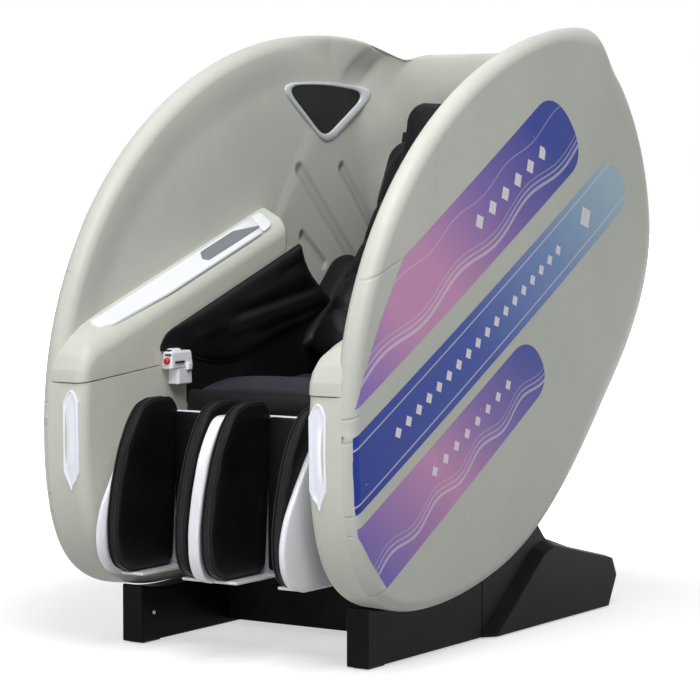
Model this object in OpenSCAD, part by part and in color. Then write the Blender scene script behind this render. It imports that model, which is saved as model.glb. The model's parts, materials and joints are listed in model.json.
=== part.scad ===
// Pay-per-use massage chair: two leaf-shaped side shells joined by a hood, a lifting calf rest,
// and a massage carriage that runs on a curved track behind the back cushion.
// X is across the chair (+X is the sitter's left), -Y is the way the sitter faces, Z is up from the floor.
// Lengths called "back" are measured rearwards from the nose of the side shells.

/* [Pod shell] */
// Length of the side shells, nose to tail
pod_len = 1269; // [1220:1:1320]
// Height of the side shells at the apex
pod_h = 1237; // [1215:1:1290]
// Width across the edges of the two outer faces
pod_w = 732; // [720:1:780]
// Bulge of each outer face beyond its edge
side_crown = 9; // [4:1:16]
// Wall of the moulded shells and liners
shell_wall = 4; // [3:0.5:5]
// Radius of the rolled rim
rim_r = 25; // [22:1:28]
// Plan radius of the rear corners
tail_r = 130; // [110:1:145]
// Height of the foremost point of the leaf outline
nose_z = 443; // [420:1:470]
// Apex, behind the nose
apex_back = 948; // [900:1:990]
// Height of the rearmost point
tail_z = 801; // [770:1:830]
// Lowest point of the outline, behind the nose
keel_back = 277; // [250:1:300]
// Height of the lowest point of the outline
keel_z = 108; // [100:1:120]
// Depth of the hollow wall between rear cover and hood liner
hood_depth = 60; // [50:1:70]

/* [Seat] */
// Clear width between the two inner side panels
seat_bay_w = 516; // [510:1:530]
// Width of the seat and knee cushions
seat_w = 456; // [440:1:466]
// Height of the seat's top
seat_z = 535; // [528:1:545]
// Thickness of the seat cushion
seat_t = 76; // [66:1:80]
// Front of the seat cushion, behind the nose
seat_back = 320; // [318:1:330]
// Length of the seat cushion
seat_len = 402; // [396:1:406]

/* [Backrest and track] */
// Width of the back cushion
back_w = 468; // [450:1:470]
// Radius of the back cushion's middle surface
back_r = 805; // [795:1:812]
// Centre of the back's curve, behind the nose
arc_back = 312; // [306:1:318]
// Centre of the back's curve, above the floor
arc_z = 1243; // [1236:1:1250]
// Half travel of the massage carriage along the track
travel_deg = 11; // [6:1:11]
// Teeth in a full circle of the curved rack
rack_teeth = 316; // [316:1:320]
// Teeth of each drive pinion
pinion_teeth = 10; // [9:1:11]
// Tooth size of rack and pinions
gear_module = 6; // [6:0.01:6.05]

/* [Armrests] */
// Height of the parting line between pillar and armrest at the nose
parting_z = 531; // [520:1:545]
// Slope of the armrests
arm_slope = 19.5; // [18:0.5:20.5]
// Rear end of the armrests, behind the nose
arm_end = 716; // [690:1:740]

/* [Calf rest] */
// Width of the calf rest
calf_w = 444; // [430:1:446]
// Height of the calf pads
calf_pad_h = 327; // [300:1:335]
// Depth of the calf pads
calf_pad_d = 170; // [150:1:174]
// Thickness of each upright calf pad
calf_pad_t = 34; // [28:1:36]
// Calf rest hinge, behind the nose
hinge_back = 272; // [270:1:276]
// Calf rest hinge height
hinge_z = 440; // [436:1:444]
// Radius of the hinge pins
hinge_pin_r = 8; // [6:0.5:10]
// How far the calf rest lifts
lift_deg = 70; // [40:1:70]

/* [Base] */
// Front of the side skirts, behind the nose
skirt_back = 167; // [160:1:180]
// Width over the side skirts
skirt_w = 584; // [570:1:600]
// Thickness of each side skirt
skirt_t = 49; // [40:1:52]
// Front of the recessed cross panel, behind the nose
panel_back = 457; // [450:1:470]
// Width over the rear boots
boot_w = 626; // [610:1:640]
// Front of the boots, behind the nose
boot_back = 592; // [580:1:600]
// Length of the boots along the floor
boot_len = 507; // [480:1:520]
// Radius of the transport wheels
wheel_r = 32; // [28:1:36]

/* [Fits] */
// Gap between parts that sit side by side
seam = 0.3; // [0.2:0.05:0.5]
// Radial gap of a shaft that turns in its bore
run_gap = 0.05; // [0.02:0.01:0.09]
// How far the light lenses stand out of the pillars
lens_proud = 4; // [2:0.5:6]

/* [Hidden] */

beige = [0.80, 0.81, 0.77];
gloss_white = [0.95, 0.95, 0.96];
leather = [0.06, 0.06, 0.07];
base_black = [0.05, 0.05, 0.05];
steel = [0.45, 0.47, 0.50];
bright = [0.78, 0.79, 0.80];
nylon = [0.86, 0.85, 0.80];

half_w = pod_w / 2;
liner_x = half_w - 2 * rim_r;       // inner face of the flat part of a side wall
pillar_inset = 2;                   // the pillars' faces sit this far inside the leaf outline
nose_y = lens_proud - pillar_inset - (pod_len + lens_proud - pillar_inset) / 2;

// ---- curves -------------------------------------------------------------------------------

function smooth(x) = let (t = min(1, max(0, x))) t * t * (3 - 2 * t);
function bezier(c, t) = c[0] * pow(1 - t, 3) + 3 * c[1] * t * pow(1 - t, 2)
    + 3 * c[2] * t * t * (1 - t) + c[3] * pow(t, 3);
function bezier_dir(c, t) = (c[1] - c[0]) * pow(1 - t, 2) + 2 * (c[2] - c[1]) * t * (1 - t)
    + (c[3] - c[2]) * t * t;

// The leaf outline is four curves: nose to apex, apex to tail, tail to keel, keel to nose.
nose = [0, nose_z];
apex = [apex_back, pod_h];
tail = [pod_len, tail_z];
keel = [keel_back, keel_z];
leaf_curves = [
    [nose, nose + [0, 467], apex - [487, 0], apex],
    [apex, apex + [167, 0], tail + [0, 206], tail],
    [tail, tail - [0, 310], keel + [443, 0], keel],
    [keel, keel - [216, 0], nose - [0, 231], nose]];
leaf_centre = [pod_len / 2, (pod_h + keel_z) / 2];
leaf_steps = 52;

// A point of the outline, s from 0 at the nose to 4, moved inwards by g
function leaf_at(s, g = 0) = let (
        u = s - 4 * floor(s / 4), c = leaf_curves[floor(u)], t = u - floor(u),
        v = bezier_dir(c, t))
    bezier(c, t) + [v[1], -v[0]] / norm(v) * g;
function leaf_s(i, n = leaf_steps) = 4 * i / n;

// Where on the rising front of the outline, from keel to apex, a height is reached
function s_at_height(z, low = 3, high = 5, n = 24) = let (mid = (low + high) / 2)
    n == 0 ? mid : leaf_at(mid)[1] < z ? s_at_height(z, mid, high, n - 1) : s_at_height(z, low, mid, n - 1);

// How much of the tail's broad corner an outline point has, 0 on the rim and 1 at the tail.
// Under the tail its radius shrinks first, then its free edge curls back into the rolled rim.
rim_end = 0.85;
hood_step = 17;                     // the rear cover runs between these steps of the outline
cover_step = 34;
hood_start = leaf_s(hood_step);
cover_end = leaf_s(cover_step);
function fall(s, a, b) = s < 1.8 ? smooth((s - rim_end) / (hood_start - rim_end)) : 1 - smooth((s - a) / (b - a));
function tail_share(s) = fall(s, 2.35, 2.8);
function edge_r(s) = rim_r + (tail_r - rim_r) * tail_share(s);
function edge_turn(s) = 180 - 90 * fall(s, cover_end + 0.02, 2.9);

// A side shell's edge in section: share 0 is at the outer face and 1 is its free edge
function edge_point(s, share, g = 0) = let (
        r = edge_r(s), a = share * edge_turn(s), p = leaf_at(s, r - (r - g) * sin(a)))
    [half_w - r + (r - g) * cos(a), p[0], p[1]];
function crown_point(s, q, g = 0) = let (p = leaf_centre + (leaf_at(s, edge_r(s)) - leaf_centre) * q)
    [half_w + side_crown * (1 - q * q) - g, p[0], p[1]];

// ---- solids from rings of points ---------------------------------------------------------

// The two end faces fan out from their first point, so all of a ring is seen from there. Where a ring
// is a bent band, its second half runs back beside the first, and the ends are strips between them.
module skin(rings, band = false) {
    n = len(rings[0]);
    m = len(rings);
    last = (m - 1) * n;
    ends = band
        ? [for (i = [0:n / 2 - 2]) each [[i, i + 1, n - 2 - i], [i, n - 2 - i, n - 1 - i],
            [last + n - 2 - i, last + i + 1, last + i], [last + n - 1 - i, last + n - 2 - i, last + i]]]
        : [for (i = [1:n - 2]) each [[0, i, i + 1], [last + i + 1, last + i, last]]];
    polyhedron(
        points = [for (r = rings) each r],
        faces = concat(ends,
            [for (j = [0:m - 2], i = [0:n - 1]) [j * n + i, (j + 1) * n + i, (j + 1) * n + (i + 1) % n]],
            [for (j = [0:m - 2], i = [0:n - 1]) [j * n + i, (j + 1) * n + (i + 1) % n, j * n + (i + 1) % n]]));
}

function reversed(a) = [for (i = [len(a) - 1:-1:0]) a[i]];

module from_nose() translate([0, nose_y, 0]) children();
module mirrored(flip) mirror([flip ? 1 : 0, 0, 0]) children();

// Extrudes an outline of [back, height] points across the chair, from x0 to x1
module across(x0, x1, points) translate([x0, 0, 0]) rotate([90, 0, 90])
    linear_extrude(x1 - x0) polygon(points);

// A box between two corners
module block(a, b) translate(a) cube(b - a);

module rod_x(x0, x1, r, fn = 48) translate([x0, 0, 0]) rotate([0, 90, 0]) cylinder(h = x1 - x0, r = r, $fn = fn);

// ---- cushions ----------------------------------------------------------------------------

// A cushion along a curve in the side plane. u runs across it from -1 to 1, v along it from 0 to 1.
// Its thickness is fullest in the middle, its sides draw in between the corners, its corners are
// rounded, and each channel is a groove [v, depth].
cushion_cols = 12;
function fullness(t) = pow(1 - pow(abs(t), 3.2), 0.55);
function groove(v, channels, width) = len(channels) == 0 ? 0
    : max([for (c = channels) c[1] * exp(-pow((v - c[0]) / width, 2))]);
function corner_inset(v, len_mm, corner) = let (e = min(v, 1 - v) * len_mm)
    e >= corner ? 0 : corner - sqrt(max(0, corner * corner - pow(corner - e, 2)));

module cushion(path, width, top, bottom, rows = 16, corner = 30, draw = 5, edge = 4,
    channels = [], groove_w = 0.03, bolster = 0, taper = [1, 1]) {
    len_mm = norm(bezier(path, 1) - bezier(path, 0));
    skin([for (j = [0:rows]) let (
            v = (1 - cos(180 * j / rows)) / 2, vv = 2 * v - 1,
            c = bezier(path, v), d = bezier_dir(path, v), n = [-d[1], d[0]] / norm(d),
            half = width / 2 * (taper[0] + (taper[1] - taper[0]) * v) - draw * sin(180 * v)
                - corner_inset(max(0.0008, min(0.9992, v)), len_mm, corner),
            pull = draw * vv * pow(abs(vv), 5) / 2)
        concat(
            [for (i = [0:cushion_cols]) let (u = -cos(180 * i / cushion_cols),
                    f = fullness(u) * fullness(vv),
                    h = edge + (top - edge - groove(v, channels, groove_w)) * f
                        + bolster * smooth((abs(u) - 0.45) / 0.3) * pow(f, 0.6),
                    b = c - d / norm(d) * pull * (1 - u * u) + n * h)
                [half * u, b[0], b[1]]],
            [for (i = [cushion_cols:-1:0]) let (u = -cos(180 * i / cushion_cols),
                    f = fullness(u) * fullness(vv),
                    h = edge + (bottom - edge) * pow(f, 0.7),
                    b = c - d / norm(d) * pull * (1 - u * u) - n * h)
                [half * u, b[0], b[1]]])]);
}

// A straight path and an arc path for cushions
function straight(a, b) = [a, a + (b - a) / 3, a + (b - a) * 2 / 3, b];

// ---- pod shells --------------------------------------------------------------------------

module side_shell(flip) color(beige) from_nose() mirrored(flip) {
    s = [for (i = [0:leaf_steps - 1]) leaf_s(i)];
    skin(concat(
        [for (q = [0.3, 0.65]) [for (t = s) crown_point(t, q)]],
        [for (k = [0:6]) [for (t = s) edge_point(t, k / 6)]],
        [for (k = [6:-1:0]) [for (t = s) edge_point(t, k / 6, shell_wall)]],
        [for (q = [0.65, 0.3]) [for (t = s) crown_point(t, q, shell_wall)]]));
}

// The inner wall of each side: a flat plate inside the rim, ending where the hood's corner starts
corner_r = 90;
function liner_outline(s) = leaf_at(s, rim_r + seam + (hood_depth + corner_r - rim_r) * tail_share(s));

module inner_liner(flip) color(beige) from_nose() mirrored(flip)
    across(liner_x, liner_x + shell_wall, [for (i = [0:leaf_steps - 1]) liner_outline(leaf_s(i))]);

// The inner wall behind the head: a flat middle and two quarter-round corners. Its top edge rolls
// out to meet the rear cover.
hood_roll = 0.28;
hood_end = 0.62;
hood_flat = liner_x - corner_r - seam;
function hood_inset(s) = shell_wall + seam
    + (hood_depth - shell_wall) * sqrt(smooth((s - hood_start) / hood_roll));
function hood_corner(s, a, g, side) = let (
        p = leaf_at(s, hood_inset(s) + g + (corner_r - g) * (1 - cos(a))))
    [side * (hood_flat + (corner_r - g) * sin(a)), p[0], p[1]];
hood_angles = [for (k = [0:6]) 14.8 * k];
function hood_ring(s, g) = concat([for (a = reversed(hood_angles)) hood_corner(s, a, g, -1)],
    [for (a = hood_angles) hood_corner(s, a, g, 1)]);

module hood_liner() color(beige) from_nose()
    skin([for (k = [0:14]) let (s = hood_start + hood_end * pow(k / 14, 1.4))
        concat(reversed(hood_ring(s, shell_wall)), hood_ring(s, 0))], band = true);

module cover_skin() skin([for (k = [hood_step:cover_step]) let (
        s = leaf_s(k), w = half_w - edge_r(s) - seam,
        q = leaf_at(s, shell_wall), p = leaf_at(s))
    [[w, q[0], q[1]], [-w, q[0], q[1]], [-w, p[0], p[1]], [w, p[0], p[1]]]]);
module rear_cover() color(beige) from_nose() difference() {
    cover_skin();
    service_hatch(hatch_w + 2 * seam, 90);
}

// The hatch in the rear cover, on the steep stretch below the tail
hatch_w = 300;
hatch_h = 240;
hatch_s = 2.12;
module service_hatch(w, deep) {
    p = leaf_at(hatch_s);
    translate([-w / 2, p[0] - deep, p[1] - (hatch_h + w - hatch_w) / 2]) cube([w, 2 * deep, hatch_h + w - hatch_w]);
}
module service_panel() color([0.25, 0.25, 0.26]) from_nose() intersection() {
    cover_skin();
    service_hatch(hatch_w, 90);
}

// ---- pillars and armrests ----------------------------------------------------------------

panel_x = seat_bay_w / 2;
// Across the armrest, from the seat side at 0 to the wall of the pod at 1
function arm_x(share) = panel_x + (liner_x - panel_x) * share;
arm_front = 251;                   // where the inner panel steps up behind the armrest's nose
arm_lift = 21;                     // rise of the parting line from the nose to there
arm_step_z = parting_z + 61;
arm_base = [301, parting_z + 99];
function arm_under(b) = arm_base[1] + (b - arm_base[0]) * tan(arm_slope);
pillar_s0 = 2.75;
pillar_s1 = s_at_height(parting_z - seam);
function pillar_outline(g) = concat(
    [for (k = [0:24]) leaf_at(pillar_s0 + (pillar_s1 - pillar_s0) * k / 24, pillar_inset + g)],
    [[arm_front, parting_z + arm_lift - seam - g], [arm_front, arm_step_z - seam - g],
        [arm_base[0], arm_base[1] - seam - g], [arm_end, arm_under(arm_end) - seam - g],
        [arm_end - g, leaf_at(cover_end, 10)[1]]]);

lens_z = [315, 519];
lens_x = [arm_x(0.276), liner_x - 4];
function lens_strip(g, deep, more = 0) = let (
        n = 10, s0 = s_at_height(lens_z[0] - more), s1 = s_at_height(lens_z[1] + more),
        s = [for (k = [0:n]) s0 + (s1 - s0) * k / n])
    concat([for (t = s) leaf_at(t, pillar_inset - lens_proud - g)],
        [for (t = reversed(s)) leaf_at(t, pillar_inset + deep)]);

// A pillar and its inner side panel are one hollow moulding, open towards the shell's wall
pillar_wall = 6;
module pillar(flip) color(beige) from_nose() mirrored(flip) difference() {
    across(panel_x, liner_x - seam, pillar_outline(0));
    across(panel_x + shell_wall, liner_x + 1, pillar_outline(pillar_wall));
    across(lens_x[0] - seam, lens_x[1] + seam, lens_strip(10, 3 + seam, seam));
}

module light_bar(flip) color(gloss_white) from_nose() mirrored(flip)
    across(lens_x[0], lens_x[1], lens_strip(0, 3));

arm_rise = 88;                     // depth of the armrest's side face, square to its slope
arm_tilt = 30;                     // drop of its top from the shell side to the seat side
function arm_top(b) = arm_under(b) + arm_rise / cos(arm_slope) * 0.96;
function arm_profile(x, g) = let (
        low = arm_tilt * (liner_x - x) / (liner_x - panel_x), f = g * 0.8) [
    [75, arm_top(75) - low - g],
    [arm_end - 40, arm_top(arm_end - 40) - low - g], [arm_end - 12 - g, arm_top(arm_end) - low - 8 - g],
    [arm_end - g, arm_top(arm_end) - 34 - low], [arm_end - g, arm_under(arm_end)],
    [arm_base[0], arm_base[1]], [arm_front, arm_step_z],
    [arm_front, parting_z + arm_lift], [10 + g, parting_z + arm_lift * g / (arm_front - 10)],
    [6 + g, parting_z + 22 - f], [14 + g, parting_z + 52 - f - low * 0.3],
    [38 + f, arm_top(38) - 12 - low * 0.5 - g * 0.7]];

module armrest(flip) color(beige) from_nose() mirrored(flip)
    skin([for (r = [[liner_x - seam, 0], [panel_x + 12, 0], [panel_x + 4, 3], [panel_x, 10]])
        [for (p = arm_profile(r[0], r[1])) [r[0], p[0], p[1]]]]);

arm_panel_t = 5;
function on_arm(x, b, up) = [x, b, arm_top(b) - arm_tilt * (liner_x - x) / (liner_x - panel_x) + up];
module arm_plate(flip, corners, low, up) mirrored(flip)
    skin([[for (c = corners) on_arm(c[0], c[1], up)], [for (c = corners) on_arm(c[0], c[1], low)]]);

module arm_panel(flip) color(gloss_white) from_nose() arm_plate(flip,
    [[liner_x - 6, 92], [arm_x(0.38), 100], [arm_x(0.24), 140], [arm_x(0.15), arm_end - 96],
        [arm_x(0.24), arm_end - 50], [liner_x - 4, arm_end - 44]], seam, arm_panel_t);

module arm_insets() color([0.45, 0.46, 0.48]) from_nose() for (flip = [false, true]) arm_plate(flip,
    [[arm_x(0.76), 452], [arm_x(0.33), 440], [arm_x(0.33), 640], [arm_x(0.76), 566]],
    arm_panel_t + seam, arm_panel_t + 2);

// Turns a cushion so that its path runs rearwards, its width upright and its thickness across the chair
module upright() rotate([0, 90, 0]) children();

arm_pad_t = 20;
arm_pad_front = [288, parting_z + 80];
arm_pad_slope = arm_slope - 9;
module arm_pad(flip) color(leather) from_nose() mirrored(flip)
    translate([panel_x - seam - arm_pad_t / 2, arm_pad_front[0], arm_pad_front[1]])
        rotate([arm_pad_slope, 0, 0]) upright()
            cushion(straight([0, 0], [595, 0]), 190, arm_pad_t / 2, arm_pad_t / 2, rows = 18, corner = 24,
                taper = [0.27, 1.08], channels = [[0.36, 5], [0.68, 5]]);

speaker_corners = [for (c = [[-142, -145], [12, -125], [-43, -229]]) apex + c];
module speaker_outline(r, d) hull() for (c = speaker_corners) translate(c) circle(r = r + d, $fn = 32);
module speaker(flip) color([0.1, 0.1, 0.1]) from_nose() mirrored(flip)
    translate([liner_x - seam - 4, 0, 0]) rotate([90, 0, 90]) linear_extrude(4) speaker_outline(14, -seam);
module speaker_bezels() color(bright) from_nose() for (flip = [false, true]) mirrored(flip)
    translate([liner_x - seam - 7, 0, 0]) rotate([90, 0, 90]) linear_extrude(7) difference() {
        speaker_outline(24, 0);
        speaker_outline(14, 0);
    }

// ---- seat --------------------------------------------------------------------------------

seat_mid_z = seat_z - seat_t / 2;
pan_top = seat_z - seat_t - seam;
frame_top = 425;
knee_t = 26;
knee_gap = 2;
knee_back = seat_back - knee_gap - knee_t / 2;
knee_z = [446, 501];

module seat_pan() color(steel) from_nose() {
    front = knee_back - knee_t / 2 + 1;
    rear = seat_back + seat_len + 5;
    shelf_z = knee_z[0] - seam;
    across(-frame_out, frame_out, [[front, shelf_z], [seat_back + 8, shelf_z], [seat_back + 8, pan_top],
        [rear, pan_top], [rear, frame_top + seam], [rear - 5, frame_top + seam], [rear - 5, pan_top - 6],
        [seat_back + 14, pan_top - 6], [seat_back + 14, frame_top + seam], [seat_back + 8, frame_top + seam],
        [seat_back + 8, shelf_z - 6], [front, shelf_z - 6]]);
}

module seat_cushion() color(leather) from_nose() cushion(
    [[seat_back, seat_mid_z - 4], [seat_back + 60, seat_mid_z + 3], [seat_back + 290, seat_mid_z - 1],
        [seat_back + seat_len, seat_mid_z + 13]],
    seat_w, seat_t / 2, seat_t / 2, rows = 18, corner = 26, channels = [[0.36, 7], [0.68, 7]]);

module knee_cushion() color(leather) from_nose()
    cushion(straight([knee_back, knee_z[0]], [knee_back, knee_z[1]]), seat_w, knee_t / 2, knee_t / 2,
        rows = 10, corner = 12, draw = 1);

// ---- backrest and track ------------------------------------------------------------------

// Angles on the back's arc are measured down from straight behind its centre
function on_arc(r, a) = [arc_back + r * cos(a), arc_z - r * sin(a)];
function arc_path(r, a0, a1) = let (k = r * 4 / 3 * tan((a0 - a1) / 4))
    [on_arc(r, a0), on_arc(r, a0) + k * [sin(a0), cos(a0)], on_arc(r, a1) - k * [sin(a1), cos(a1)], on_arc(r, a1)];

// Where on the falling rear of the outline, from apex to tail, its inner offset g crosses the back's arc
function s_on_arc(g, low = 1, high = 2, n = 24) = let (mid = (low + high) / 2)
    n == 0 ? mid : norm(leaf_at(mid, g) - [arc_back, arc_z]) < back_r ? s_on_arc(g, mid, high, n - 1)
    : s_on_arc(g, low, mid, n - 1);
function angle_on_arc(p) = atan2(arc_z - p[1], p[0] - arc_back);

head_room = 60;                    // from the hood liner to the middle of the back cushion's top end
back_low = 59.5;
back_high = angle_on_arc(leaf_at(s_on_arc(hood_depth + head_room)));
back_front_t = 45;
back_rear_t = 35;
bolster = 46;
pillow_t = 56;
pillow_gap = 3;

module back_cushion() color(leather) from_nose()
    cushion(arc_path(back_r, back_low, back_high), back_w, back_front_t, back_rear_t, rows = 26, corner = 50,
        channels = [[0.16, 12], [0.34, 12], [0.52, 12], [0.7, 12]], groove_w = 0.02, bolster = bolster);

module head_pillow() color(leather) from_nose()
    cushion(arc_path(back_r - back_front_t - pillow_gap - pillow_t / 2, back_high + 13, back_high - 2), 300,
        pillow_t / 2, pillow_t / 2, rows = 12, corner = 40);

// Revolves a [radius, across] profile about the back's arc centre, from angle a0 to a1
module swept(a0, a1, profile) translate([0, arc_back, arc_z]) rotate([-90, 0, 90]) rotate([0, 0, a0])
    rotate_extrude(angle = a1 - a0, $fn = 180) polygon([for (p = profile) [p[0], -p[1]]]);

// Puts parts at an angle on the arc: Y is then the radius and Z runs up the track
module on_track(a) translate([0, arc_back, arc_z]) rotate([-a, 0, 0]) children();

board_r = back_r + back_rear_t + 1;
track_r = [900, 940];
track_x = [172, 205];
track_wall = 3;
track_low = 57;
track_high = 22.5;

board_t = 4;
board_high = back_high + 4.2;
board_in = 142;                    // the board is open between its two halves for the massage carriage
board_out = back_w / 2 - 2;
module back_board() color([0.2, 0.2, 0.2]) from_nose() {
    for (flip = [false, true]) mirrored(flip) {
        swept(board_high, back_low - 6, [[board_r, board_in], [board_r, board_out],
            [board_r + board_t, board_out], [board_r + board_t, board_in]]);
        swept(track_high, back_low - 6, [[board_r + board_t - 1, track_x[1] + seam],
            [board_r + board_t - 1, track_x[1] + seam + board_t], [track_r[0] + 20, track_x[1] + seam + board_t],
            [track_r[0] + 20, track_x[1] + seam]]);
    }
    swept(board_high + 1, board_high + 6, [[board_r + 0.5, -board_in - 2], [board_r + 0.5, board_in + 2],
        [board_r + board_t + 2, board_in + 2], [board_r + board_t + 2, -board_in - 2]]);
}

// Rack and pinion: short straight-sided teeth with play at flank and tip
pitch_r = gear_module * rack_teeth / 2;
pinion_r = gear_module * pinion_teeth / 2;
tooth_up = 0.7 * gear_module;
tooth_down = 0.95 * gear_module;
drive_r = pitch_r - pinion_r;
carriage_at = 38;
drive_offset = 5;                  // how far below the carriage's middle the drive shaft sits, in degrees
rack_x = [150, 165];
rack_pitch = 360 / rack_teeth;
rack_half = 13;                    // teeth each side of the pinion at rest

// One tooth's four corners [turn, radius], turns in shares of the tooth pitch
function tooth(tip_r, root_r, tip_w, root_w) = [[-root_w, root_r], [-tip_w, tip_r], [tip_w, tip_r], [root_w, root_r]];

module rack() {
    mid = carriage_at + drive_offset;
    teeth = [for (k = [-rack_half:rack_half - 1],
            q = tooth(pitch_r - tooth_up, pitch_r + tooth_down, 0.13, 0.3))
        on_arc(q[1], mid + (k + 0.5 + q[0]) * rack_pitch)];
    span = rack_half * rack_pitch;
    across(rack_x[0], rack_x[1], concat(teeth,
        [for (k = [6:-1:-6]) on_arc(pitch_r + 14, mid + span * k / 6)]));
}

module track(flip) color(steel) from_nose() mirrored(flip) {
    swept(track_high, track_low, [[track_r[0], track_x[0]], [track_r[0], track_x[1]], [track_r[1], track_x[1]],
        [track_r[1], track_x[0]], [track_r[1] - track_wall, track_x[0]],
        [track_r[1] - track_wall, track_x[1] - track_wall], [track_r[0] + track_wall, track_x[1] - track_wall],
        [track_r[0] + track_wall, track_x[0]]]);
    rack();
    mid = carriage_at + drive_offset;
    span = rack_half * rack_pitch;
    swept(mid - span + 0.3, mid + span - 0.3, [[track_r[1] - 1, track_x[0] + 2], [track_r[1] - 1, track_x[0] + 8],
        [pitch_r + 12, track_x[0] + 8], [pitch_r + 12, rack_x[1] - 2], [pitch_r + 8, rack_x[1] - 2],
        [pitch_r + 8, track_x[0] + 2]]);
}

// ---- massage carriage, in track coordinates ----------------------------------------------

knead_r = 885;
knead_up = 20;
knead_shaft_r = 8;
drive_shaft_r = 6;
drive_up = -drive_r * sin(drive_offset);
drive_out = drive_r * cos(drive_offset);
cheek_x = [128, 136];
plate_out = [928, 934];
shoe_at = [-3.1, 8.2];             // the shoes, in degrees from the carriage's middle
shoe_play = 0.6;

module carriage_bores() {
    translate([0, knead_r, knead_up]) rod_x(-cheek_x[1] - 1, cheek_x[1] + 1, knead_shaft_r + run_gap);
    translate([0, drive_out, drive_up]) rod_x(-cheek_x[1] - 1, cheek_x[1] + 1, drive_shaft_r + run_gap);
}

module massage_carriage() color(steel) from_nose() on_track(carriage_at) difference() {
    union() {
        block([-cheek_x[1], plate_out[0], -150], [cheek_x[1], plate_out[1], 70]);
        for (side = [-1, 1]) {
            translate([side * (cheek_x[0] + cheek_x[1]) / 2 - 4, 868, -150])
                cube([cheek_x[1] - cheek_x[0], plate_out[1] - 868, 220]);
            for (turn = shoe_at) rotate([-turn, 0, 0]) shoe(side);
        }
        block([-28, knead_r - 24, knead_up - 26], [28, plate_out[0] + 1, knead_up + 26]);
        block([-112, drive_out - 26, drive_up - 30], [-38, plate_out[0] + 1, drive_up + 30]);
    }
    carriage_bores();
}

// A nylon-faced shoe that runs inside the channel, on its stub axle
module shoe(side) {
    mid = (track_r[0] + track_r[1]) / 2;
    half = (track_r[1] - track_r[0]) / 2 - track_wall - shoe_play;
    x0 = track_x[0] + 2;
    x1 = track_x[1] - track_wall - shoe_play;
    translate([side > 0 ? x0 : -x1, mid - half, -14]) cube([x1 - x0, 2 * half, 28]);
    translate([0, mid, 0]) rod_x(side > 0 ? cheek_x[1] - 4 : -x0 - 1, side > 0 ? x0 + 1 : -cheek_x[1] + 4, 7);
}

module drive_shaft() color(bright) from_nose() on_track(carriage_at + drive_offset) translate([0, drive_r, 0]) {
    rod_x(-rack_x[1] - 3, rack_x[1] + 3, drive_shaft_r);
    for (flip = [false, true]) mirrored(flip) translate([rack_x[0], 0, 0]) rotate([90, 0, 90])
        linear_extrude(rack_x[1] - rack_x[0]) polygon([for (k = [0:pinion_teeth - 1],
                q = tooth(pinion_r + tooth_up, pinion_r - tooth_down, 0.13, 0.3))
            q[1] * [cos((k + q[0]) * 360 / pinion_teeth), -sin((k + q[0]) * 360 / pinion_teeth)]]);
}

knead_throw = 10;
knead_wheel_r = 27;
module kneading_shaft() color(nylon) from_nose() on_track(carriage_at) translate([0, knead_r, knead_up]) {
    rod_x(-cheek_x[1] - 3, cheek_x[1] + 3, knead_shaft_r);
    for (flip = [false, true]) mirrored(flip) translate([44, 0, 0]) rotate([0, 90, 0])
        translate([0, flip ? knead_throw : -knead_throw, 0]) rotate_extrude($fn = 64)
            polygon([[0, 0], [knead_wheel_r - 6, 0], [knead_wheel_r, 8], [knead_wheel_r, 24],
                [knead_wheel_r - 6, 32], [0, 32]]);
}

// ---- base --------------------------------------------------------------------------------

foot_h = 3;
skirt_out = skirt_w / 2;
skirt_in = skirt_out - skirt_t;
frame_out = skirt_in - seam;
bar = 30;
frame_in = frame_out - bar;
base_z = 30;
bar_wall = 2.5;
axle_back = 1062;
axle_r = 6;

// The pod's outline, grown by the seam, for what fits under it
module under_pod(x0, x1) across(x0, x1, [for (i = [0:leaf_steps - 1]) leaf_at(leaf_s(i), -seam)]);

module skirt(flip) color(base_black) from_nose() mirrored(flip) difference() {
    block([skirt_in, skirt_back, foot_h], [skirt_out, boot_back - seam, 220]);
    under_pod(skirt_in - 1, skirt_out + 1);
}

boot_end = boot_back + boot_len;
boot_top = [[boot_end + 38, 64], [boot_end + 24, 107], [boot_back + 354, 145], [boot_back + 258, 173],
    [boot_back + 224, 208]];
// A boot is flush with the skirt in front; its outer face stands proud behind a slanting edge
module boot(flip) color(base_black) from_nose() mirrored(flip) difference() {
    union() {
        across(skirt_in, skirt_out, concat([[boot_back, foot_h], [boot_back, 280], [boot_back + 190, 280]],
            reversed(boot_top), [[boot_end, foot_h]]));
        across(skirt_out - 1, boot_w / 2, concat([[boot_back + 12, foot_h], [boot_back + 208, 152],
            [boot_back + 258, 171]], reversed([for (k = [0:2]) boot_top[k]]), [[boot_end, foot_h]]));
    }
    under_pod(skirt_in - 1, boot_w / 2 + 1);
}

inlet_x = [90, 140];
module rear_base_panel() color(base_black) from_nose() difference() {
    across(-frame_out, frame_out, concat([[boot_back + 222, 256]], reversed(boot_top), [[boot_end + 20, 34]],
        [[boot_end + 15, 35]], [for (p = boot_top) p - [4, 4]], [[boot_back + 218, 256]]));
    block([inlet_x[0] - seam, boot_end, 74 - seam], [inlet_x[1] + seam, boot_end + 60, 98 + seam]);
}
module power_inlet() color([0.12, 0.12, 0.12]) from_nose() difference() {
    block([inlet_x[0], boot_end - 4, 74], [inlet_x[1], boot_end + 35, 98]);
    block([inlet_x[0] + 12, boot_end + 20, 78], [inlet_x[1] - 12, boot_end + 36, 94]);
}

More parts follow.
